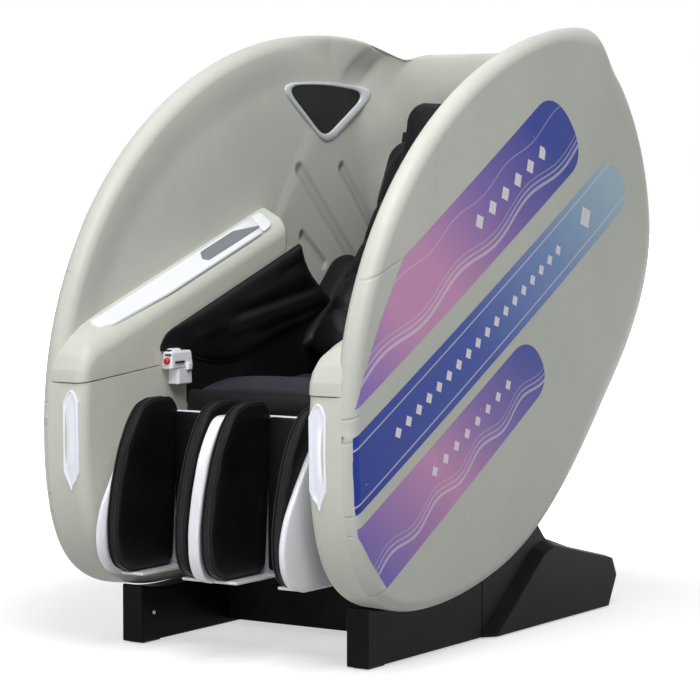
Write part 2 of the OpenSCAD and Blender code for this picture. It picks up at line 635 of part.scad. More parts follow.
panel_t = 13;
module cross_panel() color(base_black) from_nose() difference() {
    across(-frame_out, frame_out, [[panel_back + 5, 12], [panel_back + 5, 95], [panel_back, 97],
        [panel_back, 165], [panel_back + panel_t, 165], [panel_back + panel_t, 12]]);
    for (x = [-180, -60, 60, 180]) translate([x, panel_back - 1, 135]) rotate([-90, 0, 0])
        cylinder(h = 3, r = 6, $fn = 32);
}

module rubber_feet() color([0.1, 0.1, 0.1]) from_nose() for (side = [-1, 1]) {
    for (b = [skirt_back + 14, boot_end - 70]) translate([side * (skirt_in + skirt_t / 2) - 17, b, 0])
        cube([34, 56, foot_h]);
}

ear_x = [196, 204];
anchor = [507, 262];
anchor_pin_r = 6;
post_back = 540;
rear_post = 760;
frame_bars = [[480, base_z, axle_back + 28, base_z + bar], [post_back, base_z, post_back + bar, frame_top],
    [rear_post, base_z, rear_post + bar, frame_top], [hinge_back - 14, frame_top - bar, rear_post + bar, frame_top]];
module frame_channel(x0, x1, g) for (r = frame_bars)
    block([x0, r[0] + g, r[1] + g], [x1, r[2] - g, r[3] - g]);

module side_frame(flip) color(steel) from_nose() mirrored(flip) difference() {
    union() {
        difference() {
            frame_channel(frame_in, frame_out, 0);
            frame_channel(frame_in + bar_wall, frame_out + 1, bar_wall);
        }
        block([ear_x[0], hinge_back - 16, frame_top - bar], [ear_x[1], hinge_back + 14, hinge_z + 15]);
        block([ear_x[1] - 1, hinge_back - 10, frame_top - bar], [frame_in + 1, hinge_back + 14, frame_top]);
        // bracket that carries the lower end of the track
        block([track_x[1] + seam, rear_post, frame_top - 1], [frame_in + 6, rear_post + 70, frame_top + 60]);
    }
    translate([0, hinge_back, hinge_z]) rod_x(ear_x[0] - 1, ear_x[1] + 1, hinge_pin_r + run_gap);
    translate([0, axle_back, base_z + bar / 2]) rod_x(frame_in - 1, frame_out + 1, axle_r + run_gap);
}

module frame_crossbars() color(steel) from_nose() {
    span = frame_in - seam;
    for (b = [610, 725]) block([-span, b, base_z], [span, b + bar, base_z + bar]);
    block([-span, seat_back + 18, frame_top - bar], [span, seat_back + 18 + bar, frame_top]);
    difference() {
        union() {
            block([-span, post_back, anchor[1] - bar / 2], [span, post_back + bar, anchor[1] + bar / 2]);
            for (side = [-1, 1]) translate([side * 25 - 3, anchor[0] - 12, anchor[1] - 12])
                cube([6, post_back - anchor[0] + 13, 24]);
        }
        translate([0, anchor[0], anchor[1]]) rod_x(-40, 40, anchor_pin_r + run_gap);
    }
    on_track(track_high + 2.2) block([-track_x[1], track_r[1] + seam, -14], [track_x[1], track_r[1] + 16, 14]);
}

module wheel_axle() color(bright) from_nose() translate([0, axle_back, base_z + bar / 2])
    rod_x(-frame_out, frame_out, axle_r);
module wheel(flip) color([0.15, 0.15, 0.15]) from_nose() mirrored(flip)
    translate([frame_in - 26, axle_back, base_z + bar / 2]) rotate([0, 90, 0]) rotate_extrude($fn = 64)
        polygon([[axle_r + run_gap, 0], [axle_r + run_gap, 24], [wheel_r - 4, 24], [wheel_r, 20], [wheel_r, 4],
            [wheel_r - 4, 0]]);

module control_box() color([0.3, 0.31, 0.33]) from_nose()
    block([-175, 612, base_z + bar + seam], [-15, 752, base_z + bar + 95]);
module air_pump() color([0.2, 0.22, 0.25]) from_nose() {
    block([30, 620, base_z + bar + seam], [150, 750, base_z + bar + 14]);
    translate([90, 685, base_z + bar + 13]) cylinder(h = 78, r = 46, $fn = 64);
    translate([90, 685, base_z + bar + 90]) cylinder(h = 10, r = 30, $fn = 64);
}

// ---- calf rest ---------------------------------------------------------------------------

calf_half = calf_w / 2;
calf_shell_t = 12;
calf_back = 212;
calf_wall = 15;
calf_low = 156;
calf_top = 468;
calf_pad_front = 18;
calf_pad_z = 168;
calf_lean = 0.06;
divider = 13.5;
outer_pad_x = calf_half - calf_shell_t - seam - calf_pad_t / 2;
inner_pad_x = divider + seam + calf_pad_t / 2;
strip_in = outer_pad_x - calf_pad_t / 2;
lug = [hinge_back, hinge_z - 65];

module calf_shell() color(gloss_white) from_nose() {
    low = calf_pad_z - seam;
    wall = [[32, calf_low + 4], [52, calf_top - 30], [78, calf_top + 6], [calf_back + 1, calf_top],
        [calf_back + 1, calf_low], [60, calf_low]];
    side = [[64, calf_low], [34, calf_low + 16], [18, calf_low + 56], [12, calf_low + 112], [16, calf_low + 176],
        [34, calf_top - 72], [56, calf_top - 28], [80, calf_top + 6], [calf_back + 1, calf_top],
        [calf_back + 1, calf_low]];
    for (flip = [false, true]) mirrored(flip) {
        across(calf_half - calf_shell_t, calf_half, side);
        block([strip_in, 46, calf_low], [calf_half, calf_back + 1, low]);
    }
    across(-divider, divider, [for (p = wall) p - [p[0] < 100 ? 14 : 0, 0]]);
    block([-inner_pad_x - calf_pad_t / 2, 34, calf_low], [inner_pad_x + calf_pad_t / 2, calf_back + 1, low]);
    block([-calf_half, calf_back, calf_low], [calf_half, calf_back + calf_wall, calf_top]);
}

module calf_pad(x, flip) color(leather) from_nose() mirrored(flip)
    multmatrix([[1, 0, 0, 0], [0, 1, calf_lean, -calf_lean * calf_pad_z], [0, 0, 1, 0]])
        translate([x, calf_pad_front, calf_pad_z + calf_pad_h / 2]) upright()
            cushion(straight([0, 0], [calf_pad_d, 0]), calf_pad_h, calf_pad_t / 2, calf_pad_t / 2, rows = 12,
                corner = 42, draw = 2, edge = 5);

module calf_back_pads() color(leather) from_nose() for (side = [-1, 1]) {
    mid = (outer_pad_x + inner_pad_x) / 2;
    back = calf_back - 12 - seam;
    translate([side * mid, 0, 0]) cushion(straight([back, 186], [back, calf_top - 4]),
        outer_pad_x - inner_pad_x - calf_pad_t - 3, 11, 12, rows = 10, corner = 16, draw = 1);
}

arm_x = [186, 194];
rear_face = calf_back + calf_wall + seam;
module calf_hinge_arms() color(steel) from_nose() {
    for (flip = [false, true]) mirrored(flip) {
        across(arm_x[0], arm_x[1], [[rear_face, hinge_z - 50], [rear_face, hinge_z + 14], [hinge_back, hinge_z + 14],
            [hinge_back + 10, hinge_z + 10], [hinge_back + 14, hinge_z], [hinge_back + 10, hinge_z - 10],
            [hinge_back, hinge_z - 14]]);
        translate([0, hinge_back, hinge_z]) rod_x(arm_x[1] - 1, ear_x[1] + 2, hinge_pin_r);
        across(13, 19, [[rear_face, lug[1] - 26], [rear_face, lug[1] + 26], [lug[0], lug[1] + 12],
            [lug[0] + 12, lug[1]], [lug[0], lug[1] - 12]]);
    }
    translate([0, lug[0], lug[1]]) rod_x(-14, 14, lug_pin_r);
}

// ---- calf rest actuator, along the line from its anchor to the lug -------------------------

lug_pin_r = 5;
lug_play = 10;                     // the rod's eye is this much wider than the pin it pushes
act_line = lug - anchor;
act_len = norm(act_line);
act_tilt = atan2(act_line[1], -act_line[0]);
rod_r = 9;
barrel_r = 20;
barrel = [28, 178];
// Y runs from the lug back to the anchor, so the barrel points to -Y
module along_actuator() translate([0, anchor[0], anchor[1]]) rotate([-act_tilt, 0, 0]) children();

module actuator_body() color([0.16, 0.17, 0.18]) from_nose() along_actuator() difference() {
    union() {
        rod_x(-18, 18, 14);
        rod_x(-30, 30, anchor_pin_r);
        block([-14, -barrel[0] - 2, -14], [14, 0, 14]);
        rotate([90, 0, 0]) translate([0, 0, barrel[0]]) cylinder(h = barrel[1] - barrel[0], r = barrel_r, $fn = 64);
        translate([46, 0, 0]) rotate([90, 0, 0]) translate([0, 0, 40]) cylinder(h = 100, r = 19, $fn = 64);
        block([-14, -66, -16], [46, -40, 16]);
    }
    rotate([90, 0, 0]) translate([0, 0, 50]) cylinder(h = barrel[1], r = rod_r + run_gap, $fn = 64);
}

module actuator_rod() color(bright) from_nose() along_actuator() difference() {
    union() {
        rotate([90, 0, 0]) translate([0, 0, 70]) cylinder(h = act_len - 70 - 17, r = rod_r, $fn = 64);
        translate([0, -act_len, 0]) rod_x(-8, 8, lug_pin_r + lug_play + 6);
    }
    translate([0, -act_len, 0]) rod_x(-9, 9, lug_pin_r + lug_play);
}

// ---- payment reader ----------------------------------------------------------------------

reader_back = [250, 326];
reader_z = [514, 584];
reader_in = 226;
button_r = 7;
button_z = 560;
button_x = 241;
module payment_reader() color(gloss_white) from_nose() mirrored(true) difference() {
    union() {
        block([reader_in, reader_back[0], reader_z[0]], [panel_x - seam, reader_back[1], reader_z[1]]);
        block([reader_in + 4, reader_back[0] + 8, reader_z[0] - 20], [panel_x - seam, reader_back[1] - 8, reader_z[0] + 1]);
    }
    for (k = [0, 1]) block([reader_in - 1, reader_back[0] + 12, reader_z[0] + 12 + 24 * k],
        [reader_in + 6, reader_back[1] - 10, reader_z[0] + 18 + 24 * k]);
    translate([button_x, reader_back[0] - 1, button_z]) rotate([-90, 0, 0])
        cylinder(h = 11, r = button_r + 0.3, $fn = 48);
}
module stop_button() color([0.75, 0.08, 0.06]) from_nose() mirrored(true)
    translate([button_x, reader_back[0] - 4, button_z]) rotate([-90, 0, 0]) cylinder(h = 9, r = button_r, $fn = 48);

// ---- the nodes ---------------------------------------------------------------------------

side_frame(false);  // left_side_frame
side_frame(true);  // right_side_frame
frame_crossbars();
skirt(false);  // left_skirt
skirt(true);  // right_skirt
cross_panel();
boot(false);  // left_boot
boot(true);  // right_boot
rear_base_panel();
rubber_feet();
side_shell(false);  // left_side_shell
side_shell(true);  // right_side_shell
inner_liner(false);  // left_inner_liner
inner_liner(true);  // right_inner_liner
pillar(false);  // left_pillar
pillar(true);  // right_pillar
light_bar(false);  // left_light_bar
light_bar(true);  // right_light_bar
armrest(false);  // left_armrest
armrest(true);  // right_armrest
arm_panel(false);  // left_arm_panel
arm_panel(true);  // right_arm_panel
arm_insets();
arm_pad(false);  // left_arm_pad
arm_pad(true);  // right_arm_pad
speaker(false);  // left_speaker
speaker(true);  // right_speaker
speaker_bezels();
rear_cover();
hood_liner();
service_panel();
seat_pan();
seat_cushion();
knee_cushion();
back_board();
back_cushion();
head_pillow();
track(false);  // left_track
track(true);  // right_track
payment_reader();
stop_button();
power_inlet();
control_box();
air_pump();
wheel_axle();
wheel(false);  // left_wheel
wheel(true);  // right_wheel
calf_shell();
calf_pad(outer_pad_x, false);  // left_outer_calf_pad
calf_pad(inner_pad_x, false);  // left_inner_calf_pad
calf_pad(inner_pad_x, true);  // right_inner_calf_pad
calf_pad(outer_pad_x, true);  // right_outer_calf_pad
calf_back_pads();
calf_hinge_arms();
actuator_body();
actuator_rod();
massage_carriage();
drive_shaft();
kneading_shaft();
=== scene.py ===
# %% [markdown]
# # A coin-operated massage chair, dressed in Blender
# The engineering model of the chair is loaded first as a fixed frame. It already has every part in its place,
# in metres, with X across the chair, -Y the way the sitter faces and Z up. This lesson goes over the parts one
# by one, and builds the surfaces that the eye sees: smooth moulded shells, padded leather, lights and trim.

# %% Load the fixed frame
import bpy
import bmesh
import json
import math
import numpy as np
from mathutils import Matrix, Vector
from mathutils.bvhtree import BVHTree

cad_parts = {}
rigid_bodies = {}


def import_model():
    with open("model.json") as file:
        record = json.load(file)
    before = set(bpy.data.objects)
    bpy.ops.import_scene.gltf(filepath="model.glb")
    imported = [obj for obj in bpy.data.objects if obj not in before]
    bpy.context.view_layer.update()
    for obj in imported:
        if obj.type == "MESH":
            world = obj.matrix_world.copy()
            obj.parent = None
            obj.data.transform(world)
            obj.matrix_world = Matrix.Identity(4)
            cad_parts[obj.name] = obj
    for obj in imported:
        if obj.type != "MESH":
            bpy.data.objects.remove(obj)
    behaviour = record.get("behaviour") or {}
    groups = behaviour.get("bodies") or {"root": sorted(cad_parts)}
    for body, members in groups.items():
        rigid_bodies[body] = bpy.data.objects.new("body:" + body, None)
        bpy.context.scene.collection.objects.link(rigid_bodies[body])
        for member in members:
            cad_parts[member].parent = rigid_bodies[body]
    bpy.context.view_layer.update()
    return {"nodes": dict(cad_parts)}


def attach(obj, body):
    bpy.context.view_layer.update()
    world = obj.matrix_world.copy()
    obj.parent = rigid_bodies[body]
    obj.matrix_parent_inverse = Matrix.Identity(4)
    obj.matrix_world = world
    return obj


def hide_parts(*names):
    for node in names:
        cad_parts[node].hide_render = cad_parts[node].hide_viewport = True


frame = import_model()

# %% [markdown]
# ## Sizes shared with the engineering model
# The pod's side is a leaf drawn with four Bezier curves. Its points are given as millimetres back from the
# nose and up from the floor, because that is how the part was drawn. One function turns them into the frame's
# metres, so that no piece needs fitting afterwards.

# %% The leaf outline
NOSE_BACK = 633.5
HALF_W, CROWN = 366.0, 9.0
RIM, TAIL = 25.0, 130.0
WALL_X, PANEL_X = HALF_W - 2 * RIM, 258.0
HOOD_DEPTH, CORNER, SHELL_T, SEAM = 60.0, 90.0, 4.0, 0.3
NOSE, APEX, TAIL_PT, KEEL = (0, 443), (948, 1237), (1269, 801), (277, 108)
LEAF = np.array([
    [NOSE, (0, 910), (461, 1237), APEX],
    [APEX, (1115, 1237), (1269, 1007), TAIL_PT],
    [TAIL_PT, (1269, 491), (720, 108), KEEL],
    [KEEL, (61, 108), (0, 212), NOSE]], float)
CENTRE = np.array([634.5, 672.5])
# Places along the leaf, 0 to 4 round it: the rim widens, the hood starts, the cover ends.
S_OPEN, S_HOOD, S_COVER = 0.85, 4 * 17 / 52, 4 * 34 / 52


def smooth(x):
    t = np.clip(x, 0, 1)
    return t * t * (3 - 2 * t)


def bezier(c, t):
    """Points of a cubic curve. The last axis but one of c holds its four control points."""
    t = np.asarray(t, float)[..., None]
    return (c[..., 0, :] * (1 - t) ** 3 + 3 * c[..., 1, :] * t * (1 - t) ** 2
            + 3 * c[..., 2, :] * t * t * (1 - t) + c[..., 3, :] * t ** 3)


def bezier_way(c, t):
    """The curve's direction, as a unit vector."""
    t = np.asarray(t, float)[..., None]
    d = ((c[..., 1, :] - c[..., 0, :]) * (1 - t) ** 2 + 2 * (c[..., 2, :] - c[..., 1, :]) * t * (1 - t)
         + (c[..., 3, :] - c[..., 2, :]) * t * t)
    return d / np.linalg.norm(d, axis=-1, keepdims=True)


def travelled(p):
    """Distance along a line of points, from its first point."""
    return np.concatenate([[0], np.cumsum(np.linalg.norm(np.diff(p, axis=0), axis=1))])


def leaf(s, g=0.0):
    """Points of the leaf's edge at s (0 to 4 round it), moved inwards by g: back, height."""
    s, g = np.broadcast_arrays(np.asarray(s, float), np.asarray(g, float))
    u = np.mod(s, 4.0)
    k = np.minimum(u.astype(int), 3)
    d = bezier_way(LEAF[k], u - k)
    return bezier(LEAF[k], u - k) + np.stack([d[..., 1], -d[..., 0]], -1) * g[..., None]


LEAF_S = np.linspace(0, 4, 8001)
LEAF_RUN = travelled(leaf(LEAF_S))


def run(s):
    """Distance along the leaf's edge, in millimetres."""
    return np.interp(s, LEAF_S, LEAF_RUN)


def s_of(distance):
    return np.interp(distance, LEAF_RUN, LEAF_S)


def s_at_height(z):
    """Where the rising front edge reaches a height."""
    s = np.linspace(3, 5, 4001)
    return float(np.interp(z, leaf(s)[:, 1], s))


def fall(s, a, b):
    """Rises from 0 to 1 between the opening and the hood, and falls back between a and b."""
    return np.where(s < 1.8, smooth((s - S_OPEN) / (S_HOOD - S_OPEN)), 1 - smooth((s - a) / (b - a)))


def tail_share(s):
    return fall(s, 2.35, 2.8)


def edge_r(s):
    return RIM + (TAIL - RIM) * tail_share(s)


def hood_inset(s):
    return SHELL_T + SEAM + (HOOD_DEPTH - SHELL_T) * np.sqrt(smooth((s - S_HOOD) / 0.28))


print("leaf edge is", round(LEAF_RUN[-1]), "mm round")

# %% [markdown]
# ## Making meshes
# Most pieces here are grids: rows of points that follow a curve, joined by four-sided faces. A grid is easy to
# steer, shades smoothly and subdivides cleanly. Flat mouldings start as an outline that is given thickness,
# and a Bevel modifier then rounds their edges, because no moulded edge is truly sharp.

# %% Mesh helpers
SIDES = (("left", False), ("right", True))


def place(points):
    p = np.array(points, float).reshape(-1, 3)
    p[:, 1] -= NOSE_BACK
    return p * 0.001


def add_object(name, mesh, finish, body):
    mesh.materials.clear()
    mesh.materials.append(finish.mat)
    mesh.shade_smooth()
    o = bpy.data.objects.new(name, mesh)
    bpy.context.scene.collection.objects.link(o)
    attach(o, body)
    return o


def new_mesh(name, points, faces, finish, body="chassis"):
    mesh = bpy.data.meshes.new(name)
    mesh.from_pydata(place(points).tolist(), [], [tuple(int(i) for i in f) for f in faces])
    mesh.validate()
    b = bmesh.new()
    b.from_mesh(mesh)
    bmesh.ops.remove_doubles(b, verts=b.verts, dist=1e-6)
    bmesh.ops.recalc_face_normals(b, faces=b.faces)
    b.to_mesh(mesh)
    b.free()
    return add_object(name, mesh, finish, body)


def dress(o, slot, *nodes, soft=None):
    """Hides the solids that a piece stands for. Its slot (what the piece is made of) and soft (how soft a cushion
    is) are not used.
    """
    if nodes:
        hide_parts(*nodes)
    return o


def grid_faces(rows, cols, wrap=False, start=0):
    last = cols if wrap else cols - 1
    return [(start + r * cols + c, start + r * cols + (c + 1) % cols,
             start + (r + 1) * cols + (c + 1) % cols, start + (r + 1) * cols + c)
            for r in range(rows - 1) for c in range(last)]


def grid(name, points, finish, wrap=False):
    """points has the shape rows, columns, 3 (across, back, up)."""
    return new_mesh(name, points, grid_faces(*points.shape[:2], wrap), finish)


def mirror_points(points, flip):
    p = np.array(points, float)
    if flip:
        p[..., 0] *= -1
    return p


def loft(name, rows, finish, flip=False, body="chassis", first_cap=True):
    """Closed loops of equal length joined in turn, with the last loop filled and, if asked, the first."""
    pts = np.array(rows, float)
    m, n = pts.shape[:2]
    faces = grid_faces(m, n, True) + [tuple(range((m - 1) * n, m * n))]
    if first_cap:
        faces.append(tuple(range(n - 1, -1, -1)))
    return new_mesh(name, mirror_points(pts, flip), faces, finish, body)


def bevel(o, width, segments=3, angle=35):
    m = o.modifiers.new("edges", "BEVEL")
    m.width, m.segments, m.limit_method = width * 0.001, segments, "ANGLE"
    m.angle_limit = math.radians(angle)
    o.modifiers.new("normals", "WEIGHTED_NORMAL").keep_sharp = True
    return o


def finer(o):
    o.modifiers.new("finer", "SUBSURF").render_levels = 1
    return o


def quarter(n):
    """Sines and cosines of n angles over a quarter turn."""
    return [(math.sin(a), math.cos(a)) for a in np.linspace(0, math.pi / 2, n)]


def inwards(ring, distance):
    """Each point of a loop moved towards the loop's middle."""
    centre = ring.mean(axis=0)
    return ring + (centre - ring) / np.linalg.norm(centre - ring, axis=1, keepdims=True) * distance


def round_outline(points, radii, n=6):
    """Replaces each corner of a closed outline by an arc of n + 1 points."""
    pts = [np.array(p, float) for p in points]
    out = []
    for i, p in enumerate(pts):
        a, b = pts[i - 1] - p, pts[(i + 1) % len(pts)] - p
        la, lb = np.linalg.norm(a), np.linalg.norm(b)
        a, b = a / la, b / lb
        half = math.acos(max(-1, min(1, float(a @ b)))) / 2
        r = radii[i] if isinstance(radii, (list, tuple)) else radii
        cut = min(r / max(math.tan(half), 1e-6), 0.47 * la, 0.47 * lb)
        for t in np.arange(n + 1) / n:
            out.append((1 - t) ** 2 * (p + a * cut) + 2 * t * (1 - t) * p + t * t * (p + b * cut))
    return np.array(out)


def slab(name, outline, x0, x1, finish, round_edges=2.0, body="chassis", segments=3):
    """An outline of back, height points, given thickness across the chair."""
    rows = [[(x, p[0], p[1]) for p in outline] for x in (x0, x1)]
    return bevel(loft(name, rows, finish, False, body), round_edges, segments)


def surface_tree(o):
    return BVHTree.FromPolygons([v.co for v in o.data.vertices], [tuple(p.vertices) for p in o.data.polygons])


# %% [markdown]
# Two more helpers make round things. A tube follows a line of points, and serves as piping or thread. A turned
# piece spins a profile round an axis, as a lathe does, and serves as a button or a screw's head.

# %% Tubes and turned pieces
def tube(name, path, radius, finish, body="chassis", closed=False):
    curve = bpy.data.curves.new(name, "CURVE")
    curve.dimensions = "3D"
    spline = curve.splines.new("POLY")
    p = place(path)
    spline.points.add(len(p) - 1)
    spline.points.foreach_set("co", np.c_[p, np.ones(len(p))].ravel())
    spline.use_cyclic_u = closed
    curve.bevel_depth = radius * 0.001
    curve.bevel_resolution = 2
    curve.use_fill_caps = True
    temp = bpy.data.objects.new(name + "_curve", curve)
    bpy.context.scene.collection.objects.link(temp)
    mesh = bpy.data.meshes.new_from_object(temp)
    bpy.data.objects.remove(temp)
    mesh.name = name
    return add_object(name, mesh, finish, body)


def turned(name, profile, at, way, finish, body="chassis", n=40):
    """Profile rows are radius and distance along the axis, which points along way."""
    b = bmesh.new()
    loops = []
    for r, h in profile:
        loops.append([b.verts.new((r * math.cos(a), r * math.sin(a), h))
                      for a in np.linspace(0, 2 * math.pi, n, False)] if r > 0.01 else [b.verts.new((0, 0, h))])
    for l0, l1 in zip(loops, loops[1:]):
        for i in range(n):
            quad = list(dict.fromkeys([l0[i % len(l0)], l0[(i + 1) % len(l0)],
                                       l1[(i + 1) % len(l1)], l1[i % len(l1)]]))
            if len(quad) > 2:
                b.faces.new(quad)
    b.transform(Vector(way).to_track_quat("Z", "Y").to_matrix().to_4x4())
    points = [[v.co.x + at[0], v.co.y + at[1], v.co.z + at[2]] for v in b.verts]
    b.verts.index_update()
    faces = [[v.index for v in face.verts] for face in b.faces]
    b.free()
    return new_mesh(name, points, faces, finish, body)


def screw_head(name, at, out, r=4.6):
    """A domed zinc-plated head with a sunk drive."""
    profile = [(r, 0), (r, 1.0), (r * 0.82, 1.9), (r * 0.4, 2.3), (0, 1.3)]
    return dress(turned(name, profile, at, out, zinc, n=24), "frame_steel")


# %% [markdown]
# ## Shader maths
# A finish is a small network of nodes. Written node by node it is long and hard to read, so one class wraps a
# socket, and Python's own + - * / then add the Math nodes. Every other node comes from one method.

# %% The socket wrapper
class Value:
    """An output socket that can be used in a Python expression."""

    def __init__(self, finish, socket):
        self.finish, self.socket = finish, socket

    def maths(self, operation, *others):
        return self.finish.node("ShaderNodeMath", {"operation": operation}, dict(enumerate((self, *others))))

    def __add__(self, o): return self.maths("ADD", o)
    __radd__ = __add__
    def __mul__(self, o): return self.maths("MULTIPLY", o)
    __rmul__ = __mul__
    def __sub__(self, o): return self.maths("SUBTRACT", o)
    def __rsub__(self, o): return self * -1 + o
    def __truediv__(self, o): return self.maths("DIVIDE", o)
    def __abs__(self): return self.maths("ABSOLUTE")
    def __pow__(self, o): return self.maths("POWER", o)
    def high(self, o): return self.maths("MAXIMUM", o)
    def sine(self): return self.maths("SINE")

    def step(self, start, end):
        """0 below start, 1 above end, smooth between."""
        return self.finish.node("ShaderNodeMapRange", {"interpolation_type": "SMOOTHSTEP"},
                                {"Value": self, "From Min": start, "From Max": end})


class Finish:
    """One material, built from expressions."""

    def __init__(self, name):
        self.mat = bpy.data.materials.new(name)
        self.mat.use_nodes = True
        self.tree = self.mat.node_tree
        self.tree.nodes.clear()
        self.output = self.tree.nodes.new("ShaderNodeOutputMaterial")
        self.where = None

    def node(self, kind, settings=None, sockets=None, out=0):
        n = self.tree.nodes.new(kind)
        for key, value in (settings or {}).items():
            if key == "stops":
                elements = n.color_ramp.elements
                while len(elements) < len(value):
                    elements.new(0.5)
                for element, (position, colour) in zip(elements, value):
                    element.position, element.color = position, (*colour, 1)
            else:
                setattr(n, key, value)
        for key, value in (sockets or {}).items():
            if isinstance(value, Value):
                self.tree.links.new(value.socket, n.inputs[key])
            else:
                n.inputs[key].default_value = value
        return Value(self, n.outputs[out])

    def place(self):
        """The point of the surface in the part's own metres."""
        if self.where is None:
            self.where = self.node("ShaderNodeTexCoord", out=3)
        return self.where

    def axes(self):
        """The point's X, Y and Z."""
        x = self.node("ShaderNodeSeparateXYZ", None, {0: self.place()})
        return [Value(self, socket) for socket in x.socket.node.outputs]

    def noise(self, scale, detail=3, rough=0.55, stretch=None, distortion=0.0):
        at = self.place()
        if stretch:
            at = self.node("ShaderNodeVectorMath", {"operation": "MULTIPLY"}, {0: at, 1: stretch})
        return self.node("ShaderNodeTexNoise", None, {
            "Vector": at, "Scale": scale, "Detail": detail, "Roughness": rough, "Distortion": distortion})

    def cells(self, scale, feature="DISTANCE_TO_EDGE"):
        return self.node("ShaderNodeTexVoronoi", {"feature": feature}, {"Vector": self.place(), "Scale": scale})

    def mix(self, factor, a, b):
        a, b = (c if isinstance(c, Value) else (*c, 1) for c in (a, b))
        return self.node("ShaderNodeMix", {"data_type": "RGBA"}, {0: factor, 6: a, 7: b}, out=2)

    def bump(self, height, strength, distance, below=None):
        sockets = {"Height": height, "Strength": strength, "Distance": distance * 0.001}
        if below:
            sockets["Normal"] = below
        return self.node("ShaderNodeBump", None, sockets)

    def surface(self, **sockets):
        named = {k.replace("_", " "): (*v, 1) if isinstance(v, tuple) else v for k, v in sockets.items()}
        shader = self.node("ShaderNodeBsdfPrincipled", None, named)
        self.tree.links.new(shader.socket, self.output.inputs["Surface"])
        return self


def srgb(r, g, b):
    """A colour given from 0 to 255, as a screen shows it, turned into the linear light that a shader takes."""
    return tuple((v / 255 / 12.92) if v <= 10 else ((v / 255 + 0.055) / 1.055) ** 2.4 for v in (r, g, b))


def shaded(colour, times, plus=0.0):
    return tuple(min(1, c * times + plus) for c in colour)


print("socket wrapper ready: finishes are now written as expressions")

# %% [markdown]
# ## The finishes
# The pod is satin-painted plastic in a warm grey green. Paint is never perfectly even, so its colour drifts a
# little over long distances, its roughness varies, and a very fine orange-peel texture breaks up reflections.
# Soft grooves are pressed in it: two long slanting recesses and a short slot in the wall beside the sitter's
# shoulder, and fine lines where the side's three bands run out to the rim. Their colour is darkened as well, which
# is painted shade in the recesses.

# %% Painted shell and gloss plastics
SHELL_COLOUR = srgb(197, 200, 191)
# Each groove goes from one back, height point to another and has half a width, in millimetres.
WALL_CHANNELS = [((838, 940), (1046, 742), 13), ((1004, 944), (1136, 806), 11), ((846, 796), (926, 736), 9)]
BAND_LINES = [(a, b, 2.2) for a, b in (
    ((62, 739), (160, 776)), ((-70, 467), (24, 496)), ((-70, 418), (10, 450)), ((-57, 285), (14, 312)),
    ((-44, 255), (18, 275)), ((63, 148), (116, 167)))]


def painted(name, colour, spread=0.05, rough=0.42, peel=0.12, coat=0.0, extra=None):
    f = Finish(name)
    broad, dust = f.noise(2.6, 2), f.noise(38, 4, 0.6)
    patches = (broad * 0.75 + dust * 0.25).step(0.3, 0.7)
    tone = f.mix(patches, shaded(colour, 1 - spread), shaded(colour, 1 + spread))
    normal = f.bump(f.noise(620, 2, 0.5), peel, 0.12)
    if extra:
        tone, normal = extra(f, tone, normal)
    return f.surface(Base_Color=tone, Roughness=dust * 0.14 + (rough - 0.07), Normal=normal, Coat_Weight=coat,
                     Coat_Roughness=0.12, Specular_IOR_Level=0.3)


def line_mask(across, up, a, b, half_width, soft):
    """1 near the segment from a to b, given in millimetres in the side plane."""
    (ax, az), (bx, bz) = (((p[0] - NOSE_BACK) * 0.001, p[1] * 0.001) for p in (a, b))
    size = math.hypot(bx - ax, bz - az)
    ux, uz = (bx - ax) / size, (bz - az) / size
    along = (across - ax) * ux + (up - az) * uz
    side = (up - az) * ux - (across - ax) * uz
    over = (abs(along - size / 2) - size / 2).high(0.0)
    distance = (side * side + over * over) ** 0.5
    return 1 - distance.step(half_width - soft, half_width + soft)


def pressed_marks(f, tone, normal):
    x, y, z = f.axes()
    wall, face = 1 - abs(x).step(0.326, 0.330), abs(x).step(0.332, 0.340)
    for part, lines, soft, dark, shade_share, strength, depth in (
            (wall, WALL_CHANNELS, 0.010, 0.80, 0.45, 1.0, 7.0), (face, BAND_LINES, 0.0016, 0.72, 0.3, 0.6, 1.6)):
        height = None
        for a, b, half in lines:
            mark = line_mask(y, z, a, b, half * 0.001, soft)
            height = mark if height is None else height.high(mark)
        height = height * part
        # Along each groove the colour is darkened: painted shade in the recess.
        tone = f.mix(height * shade_share, tone, shaded(SHELL_COLOUR, dark))
        normal = f.bump(height * -1, strength, depth, normal)
    return tone, normal


shell = painted("shell paint", SHELL_COLOUR, extra=pressed_marks)
moulding = painted("moulding paint", srgb(205, 206, 196), rough=0.4)
gloss_white = painted("gloss white plastic", srgb(236, 238, 243), 0.02, 0.2, 0.04, 0.5)
grey_plastic = painted("inset grey plastic", srgb(122, 126, 131), 0.08, 0.45, 0.3)
print("shell paint, mouldings and gloss plastics mixed")

# %% [markdown]
# The base is black moulded plastic with a fine spark-eroded texture. Shoes and cloths polish its edges so they
# catch a little more light; here a low noise lifts the colour very slightly in random patches, a painted sheen, and
# varies the roughness.

# %% Base plastic, rubber, metals
def textured_black(name, colour, rough, grain_scale=900, grain=0.25):
    f = Finish(name)
    patches = f.noise(9, 3)
    # Lighter colour in the noise's patches is painted sheen; the same patches are rougher.
    tone = f.mix(patches.step(0.35, 0.75), colour, shaded(colour, 1.7, 0.004))
    return f.surface(Base_Color=tone, Roughness=patches * 0.16 + rough,
                     Normal=f.bump(f.cells(grain_scale, "F1"), grain, 0.15), Specular_IOR_Level=0.06)


def metal(name, colour, rough, stretch, scale=420):
    f = Finish(name)
    brushed, smudge = f.noise(scale, 3, 0.6, stretch), f.noise(14, 3)
    return f.surface(Base_Color=f.mix(smudge, colour, shaded(colour, 0.9)), Metallic=1.0,
                     Roughness=brushed * 0.18 + smudge * 0.1 + (rough - 0.12), Normal=f.bump(brushed, 0.08, 0.1))


